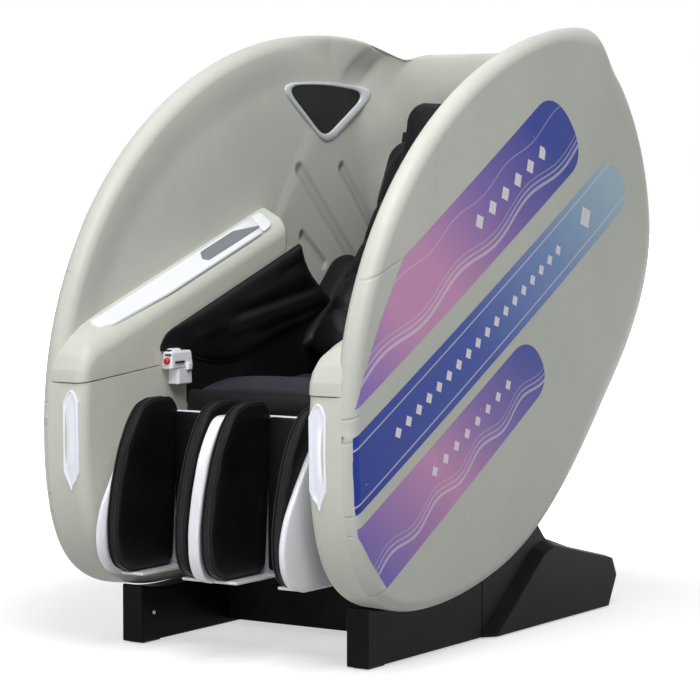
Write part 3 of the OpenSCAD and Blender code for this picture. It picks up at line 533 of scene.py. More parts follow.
base_black = textured_black("base plastic", srgb(14, 14, 15), 0.3, 900, 0.12)
rubber = textured_black("rubber", srgb(30, 30, 31), 0.7, 500, 0.5)
inside_black = textured_black("inner moulded panel", srgb(34, 34, 36), 0.55)
bright = metal("bright steel", (0.72, 0.72, 0.74), 0.26, (1, 14, 14))
zinc = metal("zinc-plated steel", (0.55, 0.57, 0.6), 0.4, (8, 1, 1), 260)
frame_paint = painted("powder-coated frame", srgb(82, 86, 92), rough=0.5, peel=0.6)
bezel_metal = painted("satin silver trim", srgb(208, 211, 217), 0.03, 0.26, 0.03, 0.5)
box_plastic = painted("control box plastic", srgb(66, 69, 74), rough=0.5, peel=0.5)
pump_paint = painted("pump enamel", srgb(48, 56, 66), rough=0.38)
nylon = painted("nylon", srgb(226, 222, 208), rough=0.45)
red = painted("red button", srgb(198, 24, 20), 0.06, 0.25, coat=0.6)
# Dark colour for the reader's slot openings: painted shade.
slot_shade = painted("painted slot shade", srgb(44, 44, 48), rough=0.5)
print("base, metals and small plastics mixed")

# %% [markdown]
# ## Leather
# The cushions are black synthetic leather. Three sizes of detail make it read as leather: pebbled grain a
# millimetre across, whose crevices are darkened as painted shade, shallow creases a few centimetres long, and a
# slow drift where hands and heads have worn it, rougher there and lifted in colour as painted sheen.

# %% Leather, piping and seam thread
def leather_finish(name, colour, crease=0.55, stretch=(1, 1, 1), rough=0.42):
    f = Finish(name)
    grain, fine = f.cells(760), f.noise(2100, 2)
    folds, crinkle = f.noise(17, 4, 0.6, stretch, 0.7), f.noise(64, 3, 0.6, stretch, 0.4)
    wear_and_sheen = f.noise(5, 2)
    # Worn patches: rougher, and lighter in colour as painted sheen.
    tone = f.mix(wear_and_sheen.step(0.4, 0.7), colour, shaded(colour, 1.5, 0.002))
    # The grain's crevices are darkened: painted shade.
    tone = f.mix((1 - grain.step(0.0, 0.06)) * 0.5, tone, shaded(colour, 0.4))
    creased = f.bump(folds + crinkle * 0.25, crease, 3.0)
    pebbles = f.bump(grain.step(0.0, 0.12) + fine * 0.2, 0.22, 0.16, creased)
    return f.surface(Base_Color=tone, Roughness=wear_and_sheen * 0.16 + grain.step(0.0, 0.1) * -0.05 + rough,
                     Normal=pebbles, Specular_IOR_Level=0.16)


leather = leather_finish("black leather", srgb(19, 19, 22))
leather_smooth = leather_finish("taut black leather", srgb(13, 13, 15), 0.35, rough=0.4)
# The seat cover is the same black leather, drawn lighter and bluer all over: painted sheen.
painted_sheen_leather = leather_finish("seat leather with painted sheen", srgb(46, 47, 56), 0.8, (0.6, 1.5, 1.5))
piping = leather_finish("piping", srgb(26, 26, 29), 0.1, rough=0.34)
print("leather cut")

# %% [markdown]
# ## Small special finishes
# The light bars are milky diffusers in front of a strip of lamps. The speaker is perforated sheet behind a bright
# frame, so its holes are drawn as dark dots in rows, painted shade where one looks into them.

# %% Lens and speaker cloth
f = Finish("milky lens")
clouds = f.noise(30, 2)
lens = f.surface(Base_Color=f.mix(clouds, srgb(238, 240, 247), srgb(226, 229, 242)),
                 Roughness=clouds * 0.1 + 0.16, Emission_Color=(0.86, 0.88, 1.0), Emission_Strength=0.03,
                 Coat_Weight=0.4)

f = Finish("speaker grille")
_, y, z = f.axes()
# The holes are drawn darker than the sheet: painted shade inside them.
hole = ((y * 1400).sine() * (z * 1400).sine()).step(0.15, 0.55)
speaker_cloth = f.surface(Base_Color=f.mix(hole, srgb(14, 14, 15), srgb(4, 4, 4)),
                          Roughness=hole * 0.3 + 0.5, Normal=f.bump(hole * -1, 0.6, 0.8))
print("lens and grille ready")

# %% [markdown]
# ## The pod's sides
# Each side is one moulding: a slightly domed outer face, a rim that rolls over, and an inner wall. The rim's
# crest is followed round the leaf, and above the sitter's head it turns across the chair and becomes the
# front edge of the hood. Drawing that crest once, and hanging every neighbouring skin from it, keeps the
# skins joined without a gap.

# %% The crest line
CREST_TURN, CREST_LIFT, PULL, LANDING = 80.0, 20.0, 13.8, 62.0
RUN_HOOD = float(run(S_HOOD))
RUN_TURN = RUN_HOOD - CREST_TURN
s_rim = np.linspace(0, S_OPEN, 64, endpoint=False)
s_open = s_of(np.linspace(run(S_OPEN), RUN_TURN, 34, endpoint=False))
turn_angle = np.linspace(0, math.pi / 2, 12)
s_turn = s_of(RUN_TURN + CREST_TURN * np.sin(turn_angle))


def crest_x(s):
    return HALF_W - edge_r(s)


def crest_lift(x):
    """The hood's front edge stands a little proud of the leaf between the two sides."""
    return CREST_LIFT * smooth((236 - np.abs(x)) / 90)


def wall_edge(t):
    """How far inside the leaf's edge the roll lands on the wall, from the rim (0) to the hood (1)."""
    return RIM + (CORNER + 4.3 - RIM) * t


def crest():
    """Each station: along the edge, across, way inwards, place of landing, way there, two pulls."""
    rows = [(run(s), crest_x(s), (0, -1), (run(s), WALL_X, RIM), (0, 0, 1), PULL, PULL) for s in s_rim]
    for s in s_open:
        t = float(smooth((s - S_OPEN) / (s_turn[0] - S_OPEN)))
        slope = float((crest_x(s + 1e-3) - crest_x(s - 1e-3)) / (run(s + 1e-3) - run(s - 1e-3)))
        size = math.hypot(slope, 1)
        rows.append((run(s), crest_x(s), (slope / size, -1 / size), (run(s), WALL_X, wall_edge(t)), (0, 0, 1),
                     PULL + 4 * t, PULL + 40 * t))
    centre_x = float(crest_x(s_turn[0])) - CREST_TURN
    for k, a in enumerate(turn_angle):
        t = k / (len(turn_angle) - 1)
        along = RUN_TURN + CREST_TURN * math.sin(a)
        s_land = float(s_of(along + LANDING * smooth(t)))
        if t > 0.35:
            s_land = max(s_land, S_HOOD)
        rows.append((along, centre_x + CREST_TURN * math.cos(a), (-math.sin(a), -math.cos(a)),
                     (run(s_land), math.radians(90 - 66 * t)), "corner", 18, 54 - 6 * t))
    flat = WALL_X - CORNER
    x_edge = flat + CORNER * math.sin(math.radians(24))
    for x in np.linspace(centre_x, 0, 16)[1:]:
        land_x = x / centre_x * x_edge
        turn = math.asin(min(1, (land_x - flat) / CORNER)) if land_x > flat else -land_x
        rows.append((RUN_HOOD, x, (-1, 0), (RUN_HOOD + LANDING, turn), "corner", 19, 48))
    return rows


def hood_point(s, alpha):
    """A point inside the hood: along, across, depth. alpha is the corner's angle, or minus a flat place."""
    if alpha <= 0:
        return np.array([run(s), -alpha, float(hood_inset(s))])
    return np.array([run(s), WALL_X - CORNER + CORNER * math.sin(alpha),
                     float(hood_inset(s)) + CORNER * (1 - math.cos(alpha))])


def to_space(along, x, depth):
    p = leaf(s_of(np.asarray(along)), np.asarray(depth))
    return np.stack([np.broadcast_to(x, p.shape[:-1]), p[..., 0], p[..., 1]], -1)


CREST_ROWS = crest()
print("crest has", len(CREST_ROWS), "stations a side")

# %% [markdown]
# The skirt is the visible roll from the crest into the chair. At each station it is a Bezier curve that leaves
# the crest level and lands on the wall or hood along that surface, so that light runs over the joint unbroken.

# %% Rolled skirt and hood skin
def skirt_points():
    columns, landings = [], []
    for along, x, inward, land, way, h0, h1 in CREST_ROWS:
        p0 = np.array([along, x, -float(crest_lift(x))])
        p1 = p0 + np.array([inward[0], inward[1], 0]) * h0
        if way == "corner":
            s_land, alpha = float(s_of(land[0])), land[1]
            landings.append((s_land, alpha))
            p3 = hood_point(s_land, alpha)
            ahead = hood_point(s_land + 0.012, alpha) - p3
            a = max(alpha, 0)
            away = ahead / np.linalg.norm(ahead) * math.cos(a) \
                + np.array([0, math.cos(a), math.sin(a)]) * math.sin(a)
            away /= np.linalg.norm(away)
        else:
            p3, away = np.array(land, float), np.array(way, float)
        columns.append(bezier(np.array([p0, p1, p3 - away * h1, p3]), np.linspace(0, 1, 15)))
    c = np.array(columns)
    return to_space(c[..., 0], c[..., 1], c[..., 2]), landings


skirt, landings = skirt_points()
rim_roll = grid("hood_rim_roll", np.concatenate([skirt, mirror_points(skirt[::-1][1:], True)]), shell)

S_HOOD_END = S_HOOD + 0.62
half_hood = np.array([[to_space(*hood_point(s + (S_HOOD_END - s) * share, alpha)) for s, alpha in landings]
                      for share in (np.arange(36) / 35) ** 1.15])
hood = np.concatenate([half_hood, mirror_points(half_hood[:, ::-1][:, 1:], True)], axis=1)
dress(grid("hood_lining", hood, shell), "shell", "hood_liner")
dress(rim_roll, "shell")
print("hood lining has", hood.shape[0] * hood.shape[1], "points")

# %% [markdown]
# The outer face and the outside of the rim are one grid round the leaf. The inner wall is a second grid that
# starts under the roll and is dished a few millimetres, as the real wall is, so a soft shadow lies along it.

# %% Outer skins and inner walls
WALL_DISH = 7
s_rest = np.concatenate([np.linspace(S_HOOD, S_COVER, 90), np.linspace(S_COVER, 4, 90)[1:-1]])
s_all = np.concatenate([s_rim, s_open, s_turn[:-1], s_rest])
r_all = edge_r(s_all)
turn_all = np.where(s_all > S_HOOD, 180 - 90 * fall(s_all, S_COVER + 0.02, 2.9), 90)
turn_all[0] = 180


def outer_skin():
    rows = []
    edge = leaf(s_all, r_all)
    for q in np.append(np.linspace(0.04, 0.94, 14), 0.975):
        p = CENTRE + (edge - CENTRE) * q
        rows.append(np.c_[np.full(len(p), HALF_W + CROWN * (1 - q * q)), p])
    for k in range(19):
        a = np.radians(k / 18 * turn_all)
        rows.append(np.c_[HALF_W - r_all + r_all * np.cos(a), leaf(s_all, r_all - r_all * np.sin(a))])
    return np.array(rows)


def wall_start(s):
    """How far inside the leaf's edge the flat wall begins."""
    near = wall_edge(smooth((s - S_OPEN) / (s_turn[0] - S_OPEN))) - 1.5
    under_hood = np.where(s < S_HOOD_END, hood_inset(s) + CORNER - 2, RIM + 125 * tail_share(s))
    return np.where(s < S_HOOD, near, under_hood)


def inner_wall():
    rows = []
    edge = leaf(s_all, wall_start(s_all))
    for q in 1 - np.linspace(0, 1, 40) ** 1.3 * 0.97:
        p = CENTRE + (edge - CENTRE) * q
        inward = np.linalg.norm(p - edge, axis=1)
        dish = WALL_DISH * smooth((inward - 4) / 90) * (1 - smooth((s_all - 0.8) / 0.4) * (s_all < 2.2))
        dish = np.where((s_all > 2.2) & (s_all < 2.9), 0, dish)
        rows.append(np.c_[WALL_X + 0.06 + dish, p])
    return np.array(rows)


outer, wall = outer_skin(), inner_wall()
m, n = outer.shape[:2]
last = (m + len(wall) - 1) * n
pts = np.concatenate([outer.reshape(-1, 3), wall.reshape(-1, 3), [[HALF_W + CROWN, *CENTRE]],
                      [[WALL_X + WALL_DISH, *CENTRE]]])
hub = len(pts) - 2
faces = grid_faces(m, n, True) + grid_faces(len(wall), n, True, m * n) \
    + [(hub, (i + 1) % n, i) for i in range(n)] + [(hub + 1, last + i, last + (i + 1) % n) for i in range(n)]
for side, flip in SIDES:
    dress(new_mesh(side + "_pod_side", mirror_points(pts, flip), faces, shell), "shell",
          side + "_side_shell", side + "_inner_liner")
print("pod sides done")

# %% [markdown]
# ## Rear cover and service hatch
# Behind the sitter's head the crest turns down into one wide cover. Its grid starts from the same crest
# stations as the hood, so both share an edge. Grid lines are placed along the hatch's borders, and the faces
# between them are left out, which gives a clean rectangular opening without cutting.

# %% Rear cover
HATCH_HALF, HATCH_H = 150.0, 240.0
TOLERANCE = 0.1
s_near = np.linspace(1.6, 2.6, 800)
hatch_s = [float(np.interp(-(leaf(2.12)[1] + side * HATCH_H / 2), -leaf(s_near)[:, 1], s_near)) for side in (1, -1)]


def beside_hatch(across):
    return abs(across) > HATCH_HALF + TOLERANCE


def cover_grid():
    top = sorted([(r[0], r[1]) for r in CREST_ROWS if r[0] > RUN_TURN - TOLERANCE], key=lambda r: -r[1])
    half = np.array([t[1] for t in top])
    start = np.array([s_of(t[0]) for t in top])
    k = int(np.argmin(abs(half - HATCH_HALF)))
    half[k], start[k] = HATCH_HALF, S_HOOD
    across = np.concatenate([half, -half[::-1][1:]])
    s0 = np.concatenate([start, start[::-1][1:]])
    wide = float(half[0])
    a, b = (float((h - S_HOOD) / (S_COVER - S_HOOD)) for h in hatch_s)
    rows = []
    for t in np.concatenate([np.linspace(0, a, 30)[:-1], np.linspace(a, b, 18)[:-1], np.linspace(b, 1, 22)]):
        s = s0 + (S_COVER - s0) * t
        spread = (crest_x(s) - HATCH_HALF) / (wide - HATCH_HALF)
        x = np.where(beside_hatch(across),
                     np.sign(across) * (HATCH_HALF + (abs(across) - HATCH_HALF) * spread), across)
        sink = 1.3 * (abs(abs(across) - wide) < TOLERANCE) * smooth(t / 0.05)
        rows.append(np.c_[x, leaf(s, sink - crest_lift(across) * (1 - smooth(t / 0.3)))])
    for g in (2.0, 8.0, 16.0):
        rows.append(np.c_[x, leaf(np.full(len(across), S_COVER + 0.002), g)])
    return np.array(rows), across


cover, cover_x = cover_grid()
rows, cols, _ = cover.shape
faces = [f for f in grid_faces(rows, cols)
         if not 29 <= f[0] // cols < 46 or beside_hatch(cover_x[f[0] % cols])
         or beside_hatch(cover_x[(f[0] + 1) % cols])]
dress(new_mesh("rear_cover_skin", cover, faces, shell), "shell", "rear_cover")
print("rear cover:", rows, "by", cols)

# %% [markdown]
# The hatch is black moulded plastic with louvres that let warm air out of the massage drive. The louvres are
# made in the grid itself: each row steps outwards and falls back, like the slats of a blind.

# %% Service panel
LOUVRES, LOUVRE_DEPTH = 9, 3.2


def hatch_point(x, t, g):
    return np.array([x, *leaf(hatch_s[0] + (hatch_s[1] - hatch_s[0]) * t, g)])


def louvre(t):
    slat = (t - 0.2) / 0.6 * LOUVRES
    return LOUVRE_DEPTH * (slat - np.floor(slat)) if 0 <= slat < LOUVRES else 0.0


ts = np.concatenate([[0.0, 0.0, 0.004, 0.012], np.linspace(0.03, 0.97, 150), [0.988, 0.996, 1.0, 1.0]])
xs = np.concatenate([[-149.3, -149.3, -148.3, -146], np.linspace(-140, 140, 41), [146, 148.3, 149.3, 149.3]])
panel_rows = []
for i, t in enumerate(ts):
    row = []
    for j, x in enumerate(xs):
        edge = min(i, len(ts) - 1 - i, j, len(xs) - 1 - j)
        g = (8, 1.5, 0.5, 0.1)[edge] if edge < 4 else 0.0
        g += louvre(t) * (abs(x) < 101) - 0.2 + (1.6 if 101 <= abs(x) < 108 and 0.19 < t < 0.81 else 0)
        row.append(hatch_point(x, t * 0.992 + 0.004, g))
    panel_rows.append(row)
dress(grid("service_panel_skin", np.array(panel_rows), inside_black), "base_plastic", "service_panel")
for k, (x, t) in enumerate(((-132, 0.08), (132, 0.08), (-132, 0.92), (132, 0.92))):
    p = hatch_point(x, t, -0.2)
    screw_head(f"hatch_screw_{k + 1}", p, hatch_point(x, t, -9) - p)
print("hatch fitted")

# %% [markdown]
# ## Pillars
# A pillar closes each side's front, below the parting line. Its face is flush with the rim, and it turns into
# the inner side panel over a generous radius. One grid carries the section round the nose and under the keel.

# %% Pillars
TURN_R, PARTING, JOIN_GAP = 26.0, 531.0, 2.2
ARM_FRONT, ARM_LIFT, ARM_STEP_Z, ARM_END = 251.0, 21.0, 592.0, 716.0
ARM_BASE, ARM_ANGLE = (301.0, 630.0), math.radians(19.5)
SHARP = math.radians(40)
pillar_section = [(343, -0.05), (336, 0.05), (328, 0.35), (316, 1.0), (300, 1.8), (PANEL_X + TURN_R, 2.0)] \
    + [(PANEL_X + TURN_R * (1 - sin), 2 + TURN_R * (1 - cos)) for sin, cos in quarter(10)[1:]]
S_PILLAR = (2.75, s_at_height(PARTING - JOIN_GAP))


def arm_under(b):
    return ARM_BASE[1] + (b - ARM_BASE[0]) * math.tan(ARM_ANGLE)


def pillar_top(d):
    return PARTING - JOIN_GAP + (ARM_LIFT + 1.2) * max(0, d) / ARM_FRONT


def pillar_points():
    rows = [[(x, *leaf(s, g)) for x, g in pillar_section]
            for s in np.linspace(S_PILLAR[0], S_PILLAR[1] - 0.002, 64)]
    end = []
    for x, g in pillar_section:
        s = S_PILLAR[1]
        for _ in range(6):
            d, z = leaf(s, g)
            s = s_at_height(float(leaf(s, 0)[1]) + (pillar_top(d) - z))
        d = float(leaf(s, g)[0])
        end.append((x, d, pillar_top(d)))
    return np.array(rows + [end])


pillar_grid = pillar_points()
rows, cols, _ = pillar_grid.shape
first = rows * cols
shelf_z, cover_z = PARTING + ARM_LIFT - 1, float(leaf(S_COVER, 10)[1])
pts = np.concatenate([pillar_grid.reshape(-1, 3), [
    (PANEL_X, ARM_FRONT, shelf_z), (PANEL_X, ARM_FRONT, ARM_STEP_Z), (PANEL_X, *ARM_BASE),
    (PANEL_X, ARM_END, arm_under(ARM_END)), (PANEL_X, ARM_END, cover_z), (330, ARM_FRONT, shelf_z),
    (330, ARM_END, arm_under(ARM_END)), (330, ARM_END, cover_z)]])
faces = grid_faces(rows, cols) + [
    tuple(r * cols + cols - 1 for r in range(rows)) + tuple(range(first, first + 5)),
    tuple((rows - 1) * cols + c for c in range(cols)) + (first, first + 5),
    (first + 3, first + 6, first + 7, first + 4)]
for side, flip in SIDES:
    o = new_mesh(side + "_front_pillar", mirror_points(pts, flip), faces, moulding)
    o.data.set_sharp_from_angle(angle=SHARP)
    dress(o, "shell", side + "_pillar")
print("pillars:", rows * cols, "points each")

# %% [markdown]
# ## Armrests
# The armrest is one hollow moulding above the parting line. Its side profile is an outline; each ring of the
# mesh is that outline with every edge moved inwards by its own amount, so the top, nose and tail round over
# while the parting line stays put. Corners are rounded after the move, which keeps the rings alike.

# %% Armrest moulding
ARM_RISE, ARM_TILT, ARM_ROUND = 88.0, 30.0, 24


def arm_top(b):
    return arm_under(b) + ARM_RISE / math.cos(ARM_ANGLE) * 0.96


def arm_drop(x):
    """The armrest's top slopes down from the wall towards the sitter."""
    return ARM_TILT * (WALL_X - x) / (WALL_X - PANEL_X)


def moved_edges(points, gaps):
    """Each edge of a clockwise outline moved inwards by its own gap."""
    lines = []
    for p, q, gap in zip(points, points[1:] + points[:1], gaps):
        p, q = np.array(p, float), np.array(q, float)
        d = (q - p) / np.linalg.norm(q - p)
        lines.append((p + np.array([d[1], -d[0]]) * gap, d))
    out = []
    for (p, d), (q, e) in zip(lines[-1:] + lines[:-1], lines):
        out.append(p + d * np.linalg.solve(np.array([d, -e]).T, q - p)[0])
    return out


def arm_ring(x, g):
    low = arm_drop(min(x, WALL_X))
    # Each corner: back, height, share of the inset on the edge that leaves it, radius.
    corners = [
        (72, arm_top(72) - low, 1, 26), (ARM_END - 12, arm_top(ARM_END - 12) - low, 1, 10),
        (ARM_END, arm_top(ARM_END) - 30 - low, 1, 20), (ARM_END, arm_under(ARM_END), 0.03, 3),
        (*ARM_BASE, 0.03, 46), (ARM_FRONT, ARM_STEP_Z, 0.03, 34), (ARM_FRONT, PARTING + ARM_LIFT, 0.03, 1.5),
        (4, PARTING, 1, 1.5), (6, PARTING + 24, 1, 20), (16, PARTING + 56 - low * 0.35, 1, 30),
        (38, arm_top(38) - 9 - low * 0.7, 1, 26)]
    outline = moved_edges([c[:2] for c in corners], [g * c[2] for c in corners])
    return round_outline(outline, [c[3] for c in corners], 7)


arm_sections = [(338, 1.5), (330, 0.6), (316, 0), (300, 0), (PANEL_X + ARM_ROUND, 0)] \
    + [(PANEL_X + ARM_ROUND * (1 - sin), ARM_ROUND * (1 - cos)) for sin, cos in quarter(10)[1:]]
arm_rows = [[(x, *p) for p in arm_ring(x, g)] for x, g in arm_sections]
for side, flip in SIDES:
    o = loft(side + "_armrest_moulding", arm_rows, moulding, flip)
    o.data.set_sharp_from_angle(angle=SHARP)
    dress(o, "shell", side + "_armrest")
print("armrests:", len(arm_rows[0]), "points a ring")

# %% [markdown]
# On top lies a gloss white panel with a grey inlay. It is drawn in the armrest's own sloping plane, with
# rounded corners and a moulded bevel, and its tail ends in a separate small cap.

# %% White panels and inlays
def arm_x(share):
    return PANEL_X + (WALL_X - PANEL_X) * share


def on_arm(x, b, up):
    return (x, b, arm_top(b) - arm_drop(x) + up)


def arm_plate(name, corners, radii, low, up, edge, finish, flip, crown):
    """A plate on the armrest's top: side wall, rounded edge and a slightly crowned face."""
    outline = round_outline(corners, radii, 6)
    centre = outline.mean(axis=0)
    rows = []
    for inset, height in ((0, low), (0, up - edge), (edge * 0.3, up - edge * 0.3), (edge, up)):
        rows.append([on_arm(x, b, height) for x, b in inwards(outline, inset)])
    for q in (0.85, 0.6, 0.3):
        rows.append([on_arm(x, b, up + crown * (1 - q * q)) for x, b in centre + (outline - centre) * q])
    m, n = len(rows), len(outline)
    pts = np.concatenate([np.array(rows).reshape(-1, 3), [on_arm(*centre, up + crown)]])
    faces = grid_faces(m, n, True) + [((m - 1) * n + i, (m - 1) * n + (i + 1) % n, m * n) for i in range(n)]
    return new_mesh(name, mirror_points(pts, flip), faces, finish)


for side, flip in SIDES:
    top = [(WALL_X - 6, 90), (arm_x(0.5), 94), (arm_x(0.3), 128), (arm_x(0.14), 300),
           (arm_x(0.14), ARM_END - 94), (WALL_X - 4, ARM_END - 72)]
    dress(arm_plate(side + "_arm_top", top, [6, 18, 30, 60, 8, 8], 0.2, 5, 2.0, gloss_white, flip, 0.8),
          "white_gloss", side + "_arm_panel")
    cap = [(WALL_X - 4, ARM_END - 70), (arm_x(0.14), ARM_END - 92), (arm_x(0.2), ARM_END - 50),
           (WALL_X - 4, ARM_END - 40)]
    dress(arm_plate(side + "_arm_top_end", cap, [5, 8, 22, 14], 0.2, 4.6, 2.0, gloss_white, flip, 0.5),
          "white_gloss")
    inlay = [(arm_x(0.78), 450), (arm_x(0.5), 434), (arm_x(0.33), 446), (arm_x(0.33), 640), (arm_x(0.78), 566)]
    dress(arm_plate(side + "_arm_inlay", inlay, [5, 10, 6, 4, 10], 5.0, 7.0, 0.8, grey_plastic, flip, 0.2),
          "inset_grey", "arm_insets")
print("white panels, end caps and inlays on both armrests")

# %% [markdown]
# ## Light bars
# Each pillar's nose carries a diffuser with pointed ends. It is a patch over the pillar's curve: its outline is
# drawn flat, across the pillar and along its height, and every point is then laid on the curve and lifted.

# %% Light bars
(x0, x1), (z0, z1) = (arm_x(0.276) - 5, WALL_X - 9), (315.0, 519.0)
mid = (x0 + x1) / 2 + 2
LENS_HALF = np.array([19.0, 102.0])
LENS_CENTRE = np.array([(x0 + x1) / 2, (z0 + z1) / 2 + 8])
LENS_FRAME = 6.4
# Each corner: across, height, radius.
LENS = [(x0, z1 - 26, 10), (x0 + 9, z1 - 9, 6), (mid - 3, z1, 6), (x1 - 9, z1 - 8, 6), (x1, z1 - 26, 10),
        (x1, z0 + 40, 10), (x1 - 7, z0 + 25, 5), (mid + 5, z0 + 16, 4), (mid, z0, 2), (mid - 5, z0 + 16, 4),
        (x0 + 7, z0 + 25, 5), (x0, z0 + 40, 10)]


def lens_row(scale, proud):
    p = LENS_CENTRE + (lens_ring - LENS_CENTRE) * scale
    return [(x, *leaf(s_at_height(z), 2.0 - proud)) for x, z in p]


lens_ring = round_outline([c[:2] for c in LENS], [c[2] for c in LENS], 4)
lens_rows = [lens_row(1 - inset / LENS_HALF, proud) for inset, proud in (
    (0, -4), (0, 1.6), (0.8, 2.9), (2.0, 3.6), (4.2, 3.8), (5.0, 3.2), (5.6, 1.2), (LENS_FRAME, 0.8))] \
    + [lens_row((1 - LENS_FRAME / LENS_HALF) * np.array([q, 0.5 + 0.5 * q]), 0.8 + 1.9 * (1 - q))
       for q in (0.6, 0.35, 0.15)]
for side, flip in SIDES:
    dress(loft(side + "_light_lens", lens_rows, lens, flip, first_cap=False), "light_lens", side + "_light_bar")
print("light bars:", len(lens_ring), "points round")

# %% [markdown]
# ## Speakers
# The speaker is a rounded triangle beside the head. Its outline is drawn flat and then carried along one
# direction on to the wall and hood, where rays find the surface. Bezel and grille share a loop, so they meet.

# %% Speakers
FACING, ACROSS = np.array([0.546, -0.835, 0.066]), np.array([0.837, 0.548, 0.0])
UPRIGHT = np.cross(FACING, ACROSS)
SPEAKER_AT = np.array([-316.0, 952.0, 1090.0])
skin_trees = [surface_tree(bpy.data.objects[n]) for n in ("right_pod_side", "hood_rim_roll", "hood_lining")]
OUTER_RING = round_outline([(-112, 27), (-4, 47), (111, 42), (-6, -98)], [24, 400, 24, 26], 9)
INNER_RING = round_outline([(-97, 25), (-10, 38), (84, 34), (-12, -80)], [22, 400, 20, 22], 9)


def on_skin(a, b, proud):
    """A point of the flat outline, carried on to the first skin that it meets and lifted off it."""
    start = Vector(place(SPEAKER_AT + ACROSS * a + UPRIGHT * b + FACING * 300)[0])
    hits = [tree.ray_cast(start, Vector(FACING * -1)) for tree in skin_trees]
    hit, normal, _, _ = min((h for h in hits if h[0] is not None), key=lambda h: h[3])
    hit, normal = np.array(hit), np.array(normal)
    lift = FACING * 0.6 + normal * (0.4 if normal @ FACING > 0 else -0.4)
    return hit * 1000 + np.array([0, NOSE_BACK, 0]) + lift / np.linalg.norm(lift) * proud


def skin_rows(outer_ring, inner_ring, steps):
    return np.array([[on_skin(*(p * (1 - t) + q * t), proud) for p, q in zip(outer_ring, inner_ring)]
                     for t, proud in steps])


bezel_rows = skin_rows(OUTER_RING, INNER_RING, (
    (-0.02, -3), (0, 2.5), (0.12, 4.6), (0.4, 6), (0.75, 6), (0.95, 4.6), (1.0, 1.0)))
grille_rows = skin_rows(INNER_RING, np.broadcast_to(INNER_RING.mean(axis=0), INNER_RING.shape), (
    (0, 1.2), (0.1, 1.6), (0.3, 1.6), (0.5, 1.6), (0.75, 1.6), (1.0, 1.6)))
for side, flip in SIDES:
    dress(grid(side + "_speaker_bezel", mirror_points(bezel_rows, not flip), bezel_metal, True),
          "bezel", "speaker_bezels")
    dress(grid(side + "_speaker_grille", mirror_points(grille_rows, not flip), speaker_cloth, True),
          "speaker_cloth", side + "_speaker")
print("speakers set in the walls:", len(OUTER_RING), "points round")

# %% [markdown]
# ## Cushions
# Every large cushion follows a curve in the side plane: flat for the seat, an arc for the back. Its thickness
# is fullest in the middle and its sides draw in between the corners, as sewn covers do. After that, a short
# cloth simulation with air pressure inside gives the cover its natural swell, and the seams go in last,
# because the remesh before the simulation would erase them.

# %% Cushion form
EDGE_T, GROOVE_W = 4, 0.03


def fullness(t):
    return (1 - np.abs(t) ** 3.2).clip(0) ** 0.55


class Cushion:
    """The form of one cushion along a path; u runs across it, -1 to 1, and v along it, 0 to 1."""

    def __init__(self, path, width, top, bottom, corner=30, draw=5, channels=(), bolster=0, inset=0.0, dish=0.0):
        self.path, self.width, self.top, self.bottom = np.array(path, float), width, top, bottom
        self.corner, self.draw, self.channels, self.bolster = corner, draw, channels, bolster
        self.inset, self.dish = inset, dish

    def point(self, u, v, side):
        c, d = bezier(self.path, v), bezier_way(self.path, v)
        n = np.stack([-d[..., 1], d[..., 0]], -1)
        size = np.linalg.norm(self.path[3] - self.path[0])
        e = np.minimum(v, 1 - v).clip(0.0008) * size
        cut = np.where(e >= self.corner, 0,
                       self.corner - np.sqrt((self.corner ** 2 - (self.corner - e).clip(0) ** 2).clip(0)))
        half = self.width / 2 - self.draw * np.sin(np.pi * v) - cut - self.inset
        vv = 2 * v - 1
        pull = self.draw * vv * np.abs(vv) ** 5 / 2
        f = fullness(u) * fullness(vv)
        if side > 0:
            sunk = np.zeros_like(v)
            for at, deep in self.channels:
                sunk = np.maximum(sunk, deep * np.exp(-((v - at) / GROOVE_W) ** 2))
            h = EDGE_T + (self.top - EDGE_T - sunk) * f \
                + self.bolster * smooth((np.abs(u) - 0.45) / 0.3) * f ** 0.6 \
                - self.dish * smooth((v - 0.1) / 0.35) * f ** 0.6
        else:
            h = EDGE_T + (self.bottom - EDGE_T) * f ** 0.7
        h = (h - self.inset).clip(1)
        b = c + (bezier(self.path, 0.5) - c) * (2 * self.inset / size) - d * (pull * (1 - u * u))[..., None] \
            + n * (h * side)[..., None]
        return np.stack([half * u, b[..., 0], b[..., 1]], -1)

    def mesh(self, name, finish, cols, rows, body, shift):
        u = -np.cos(np.pi * np.linspace(0, 1, cols))
        v = (1 - np.cos(np.pi * np.linspace(0, 1, rows))) / 2
        uu, vv = np.meshgrid(u, v)
        ring = np.concatenate([self.point(uu, vv, 1), self.point(uu, vv, -1)[:, ::-1]], axis=1)
        ring[..., 0] += shift
        n = ring.shape[1]
        faces = grid_faces(rows, n, True)
        for start in (0, (rows - 1) * n):
            faces += [(start + i, start + i + 1, start + n - 2 - i, start + n - 1 - i) for i in range(cols - 1)]
        return new_mesh(name, ring, faces, finish, body)


print("cushion form ready")

# %% [markdown]
# Air pressure swells a closed cover in Blender's cloth solver. The result is then held back, so that no point
# moves further than a cap and the cover keeps clear of its neighbours.

# %% Swelling the covers
def coordinates(mesh):
    co = np.empty(len(mesh.vertices) * 3)
    mesh.vertices.foreach_get("co", co)
    return co.reshape(-1, 3)


def evaluated(o):
    return o.evaluated_get(bpy.context.evaluated_depsgraph_get())


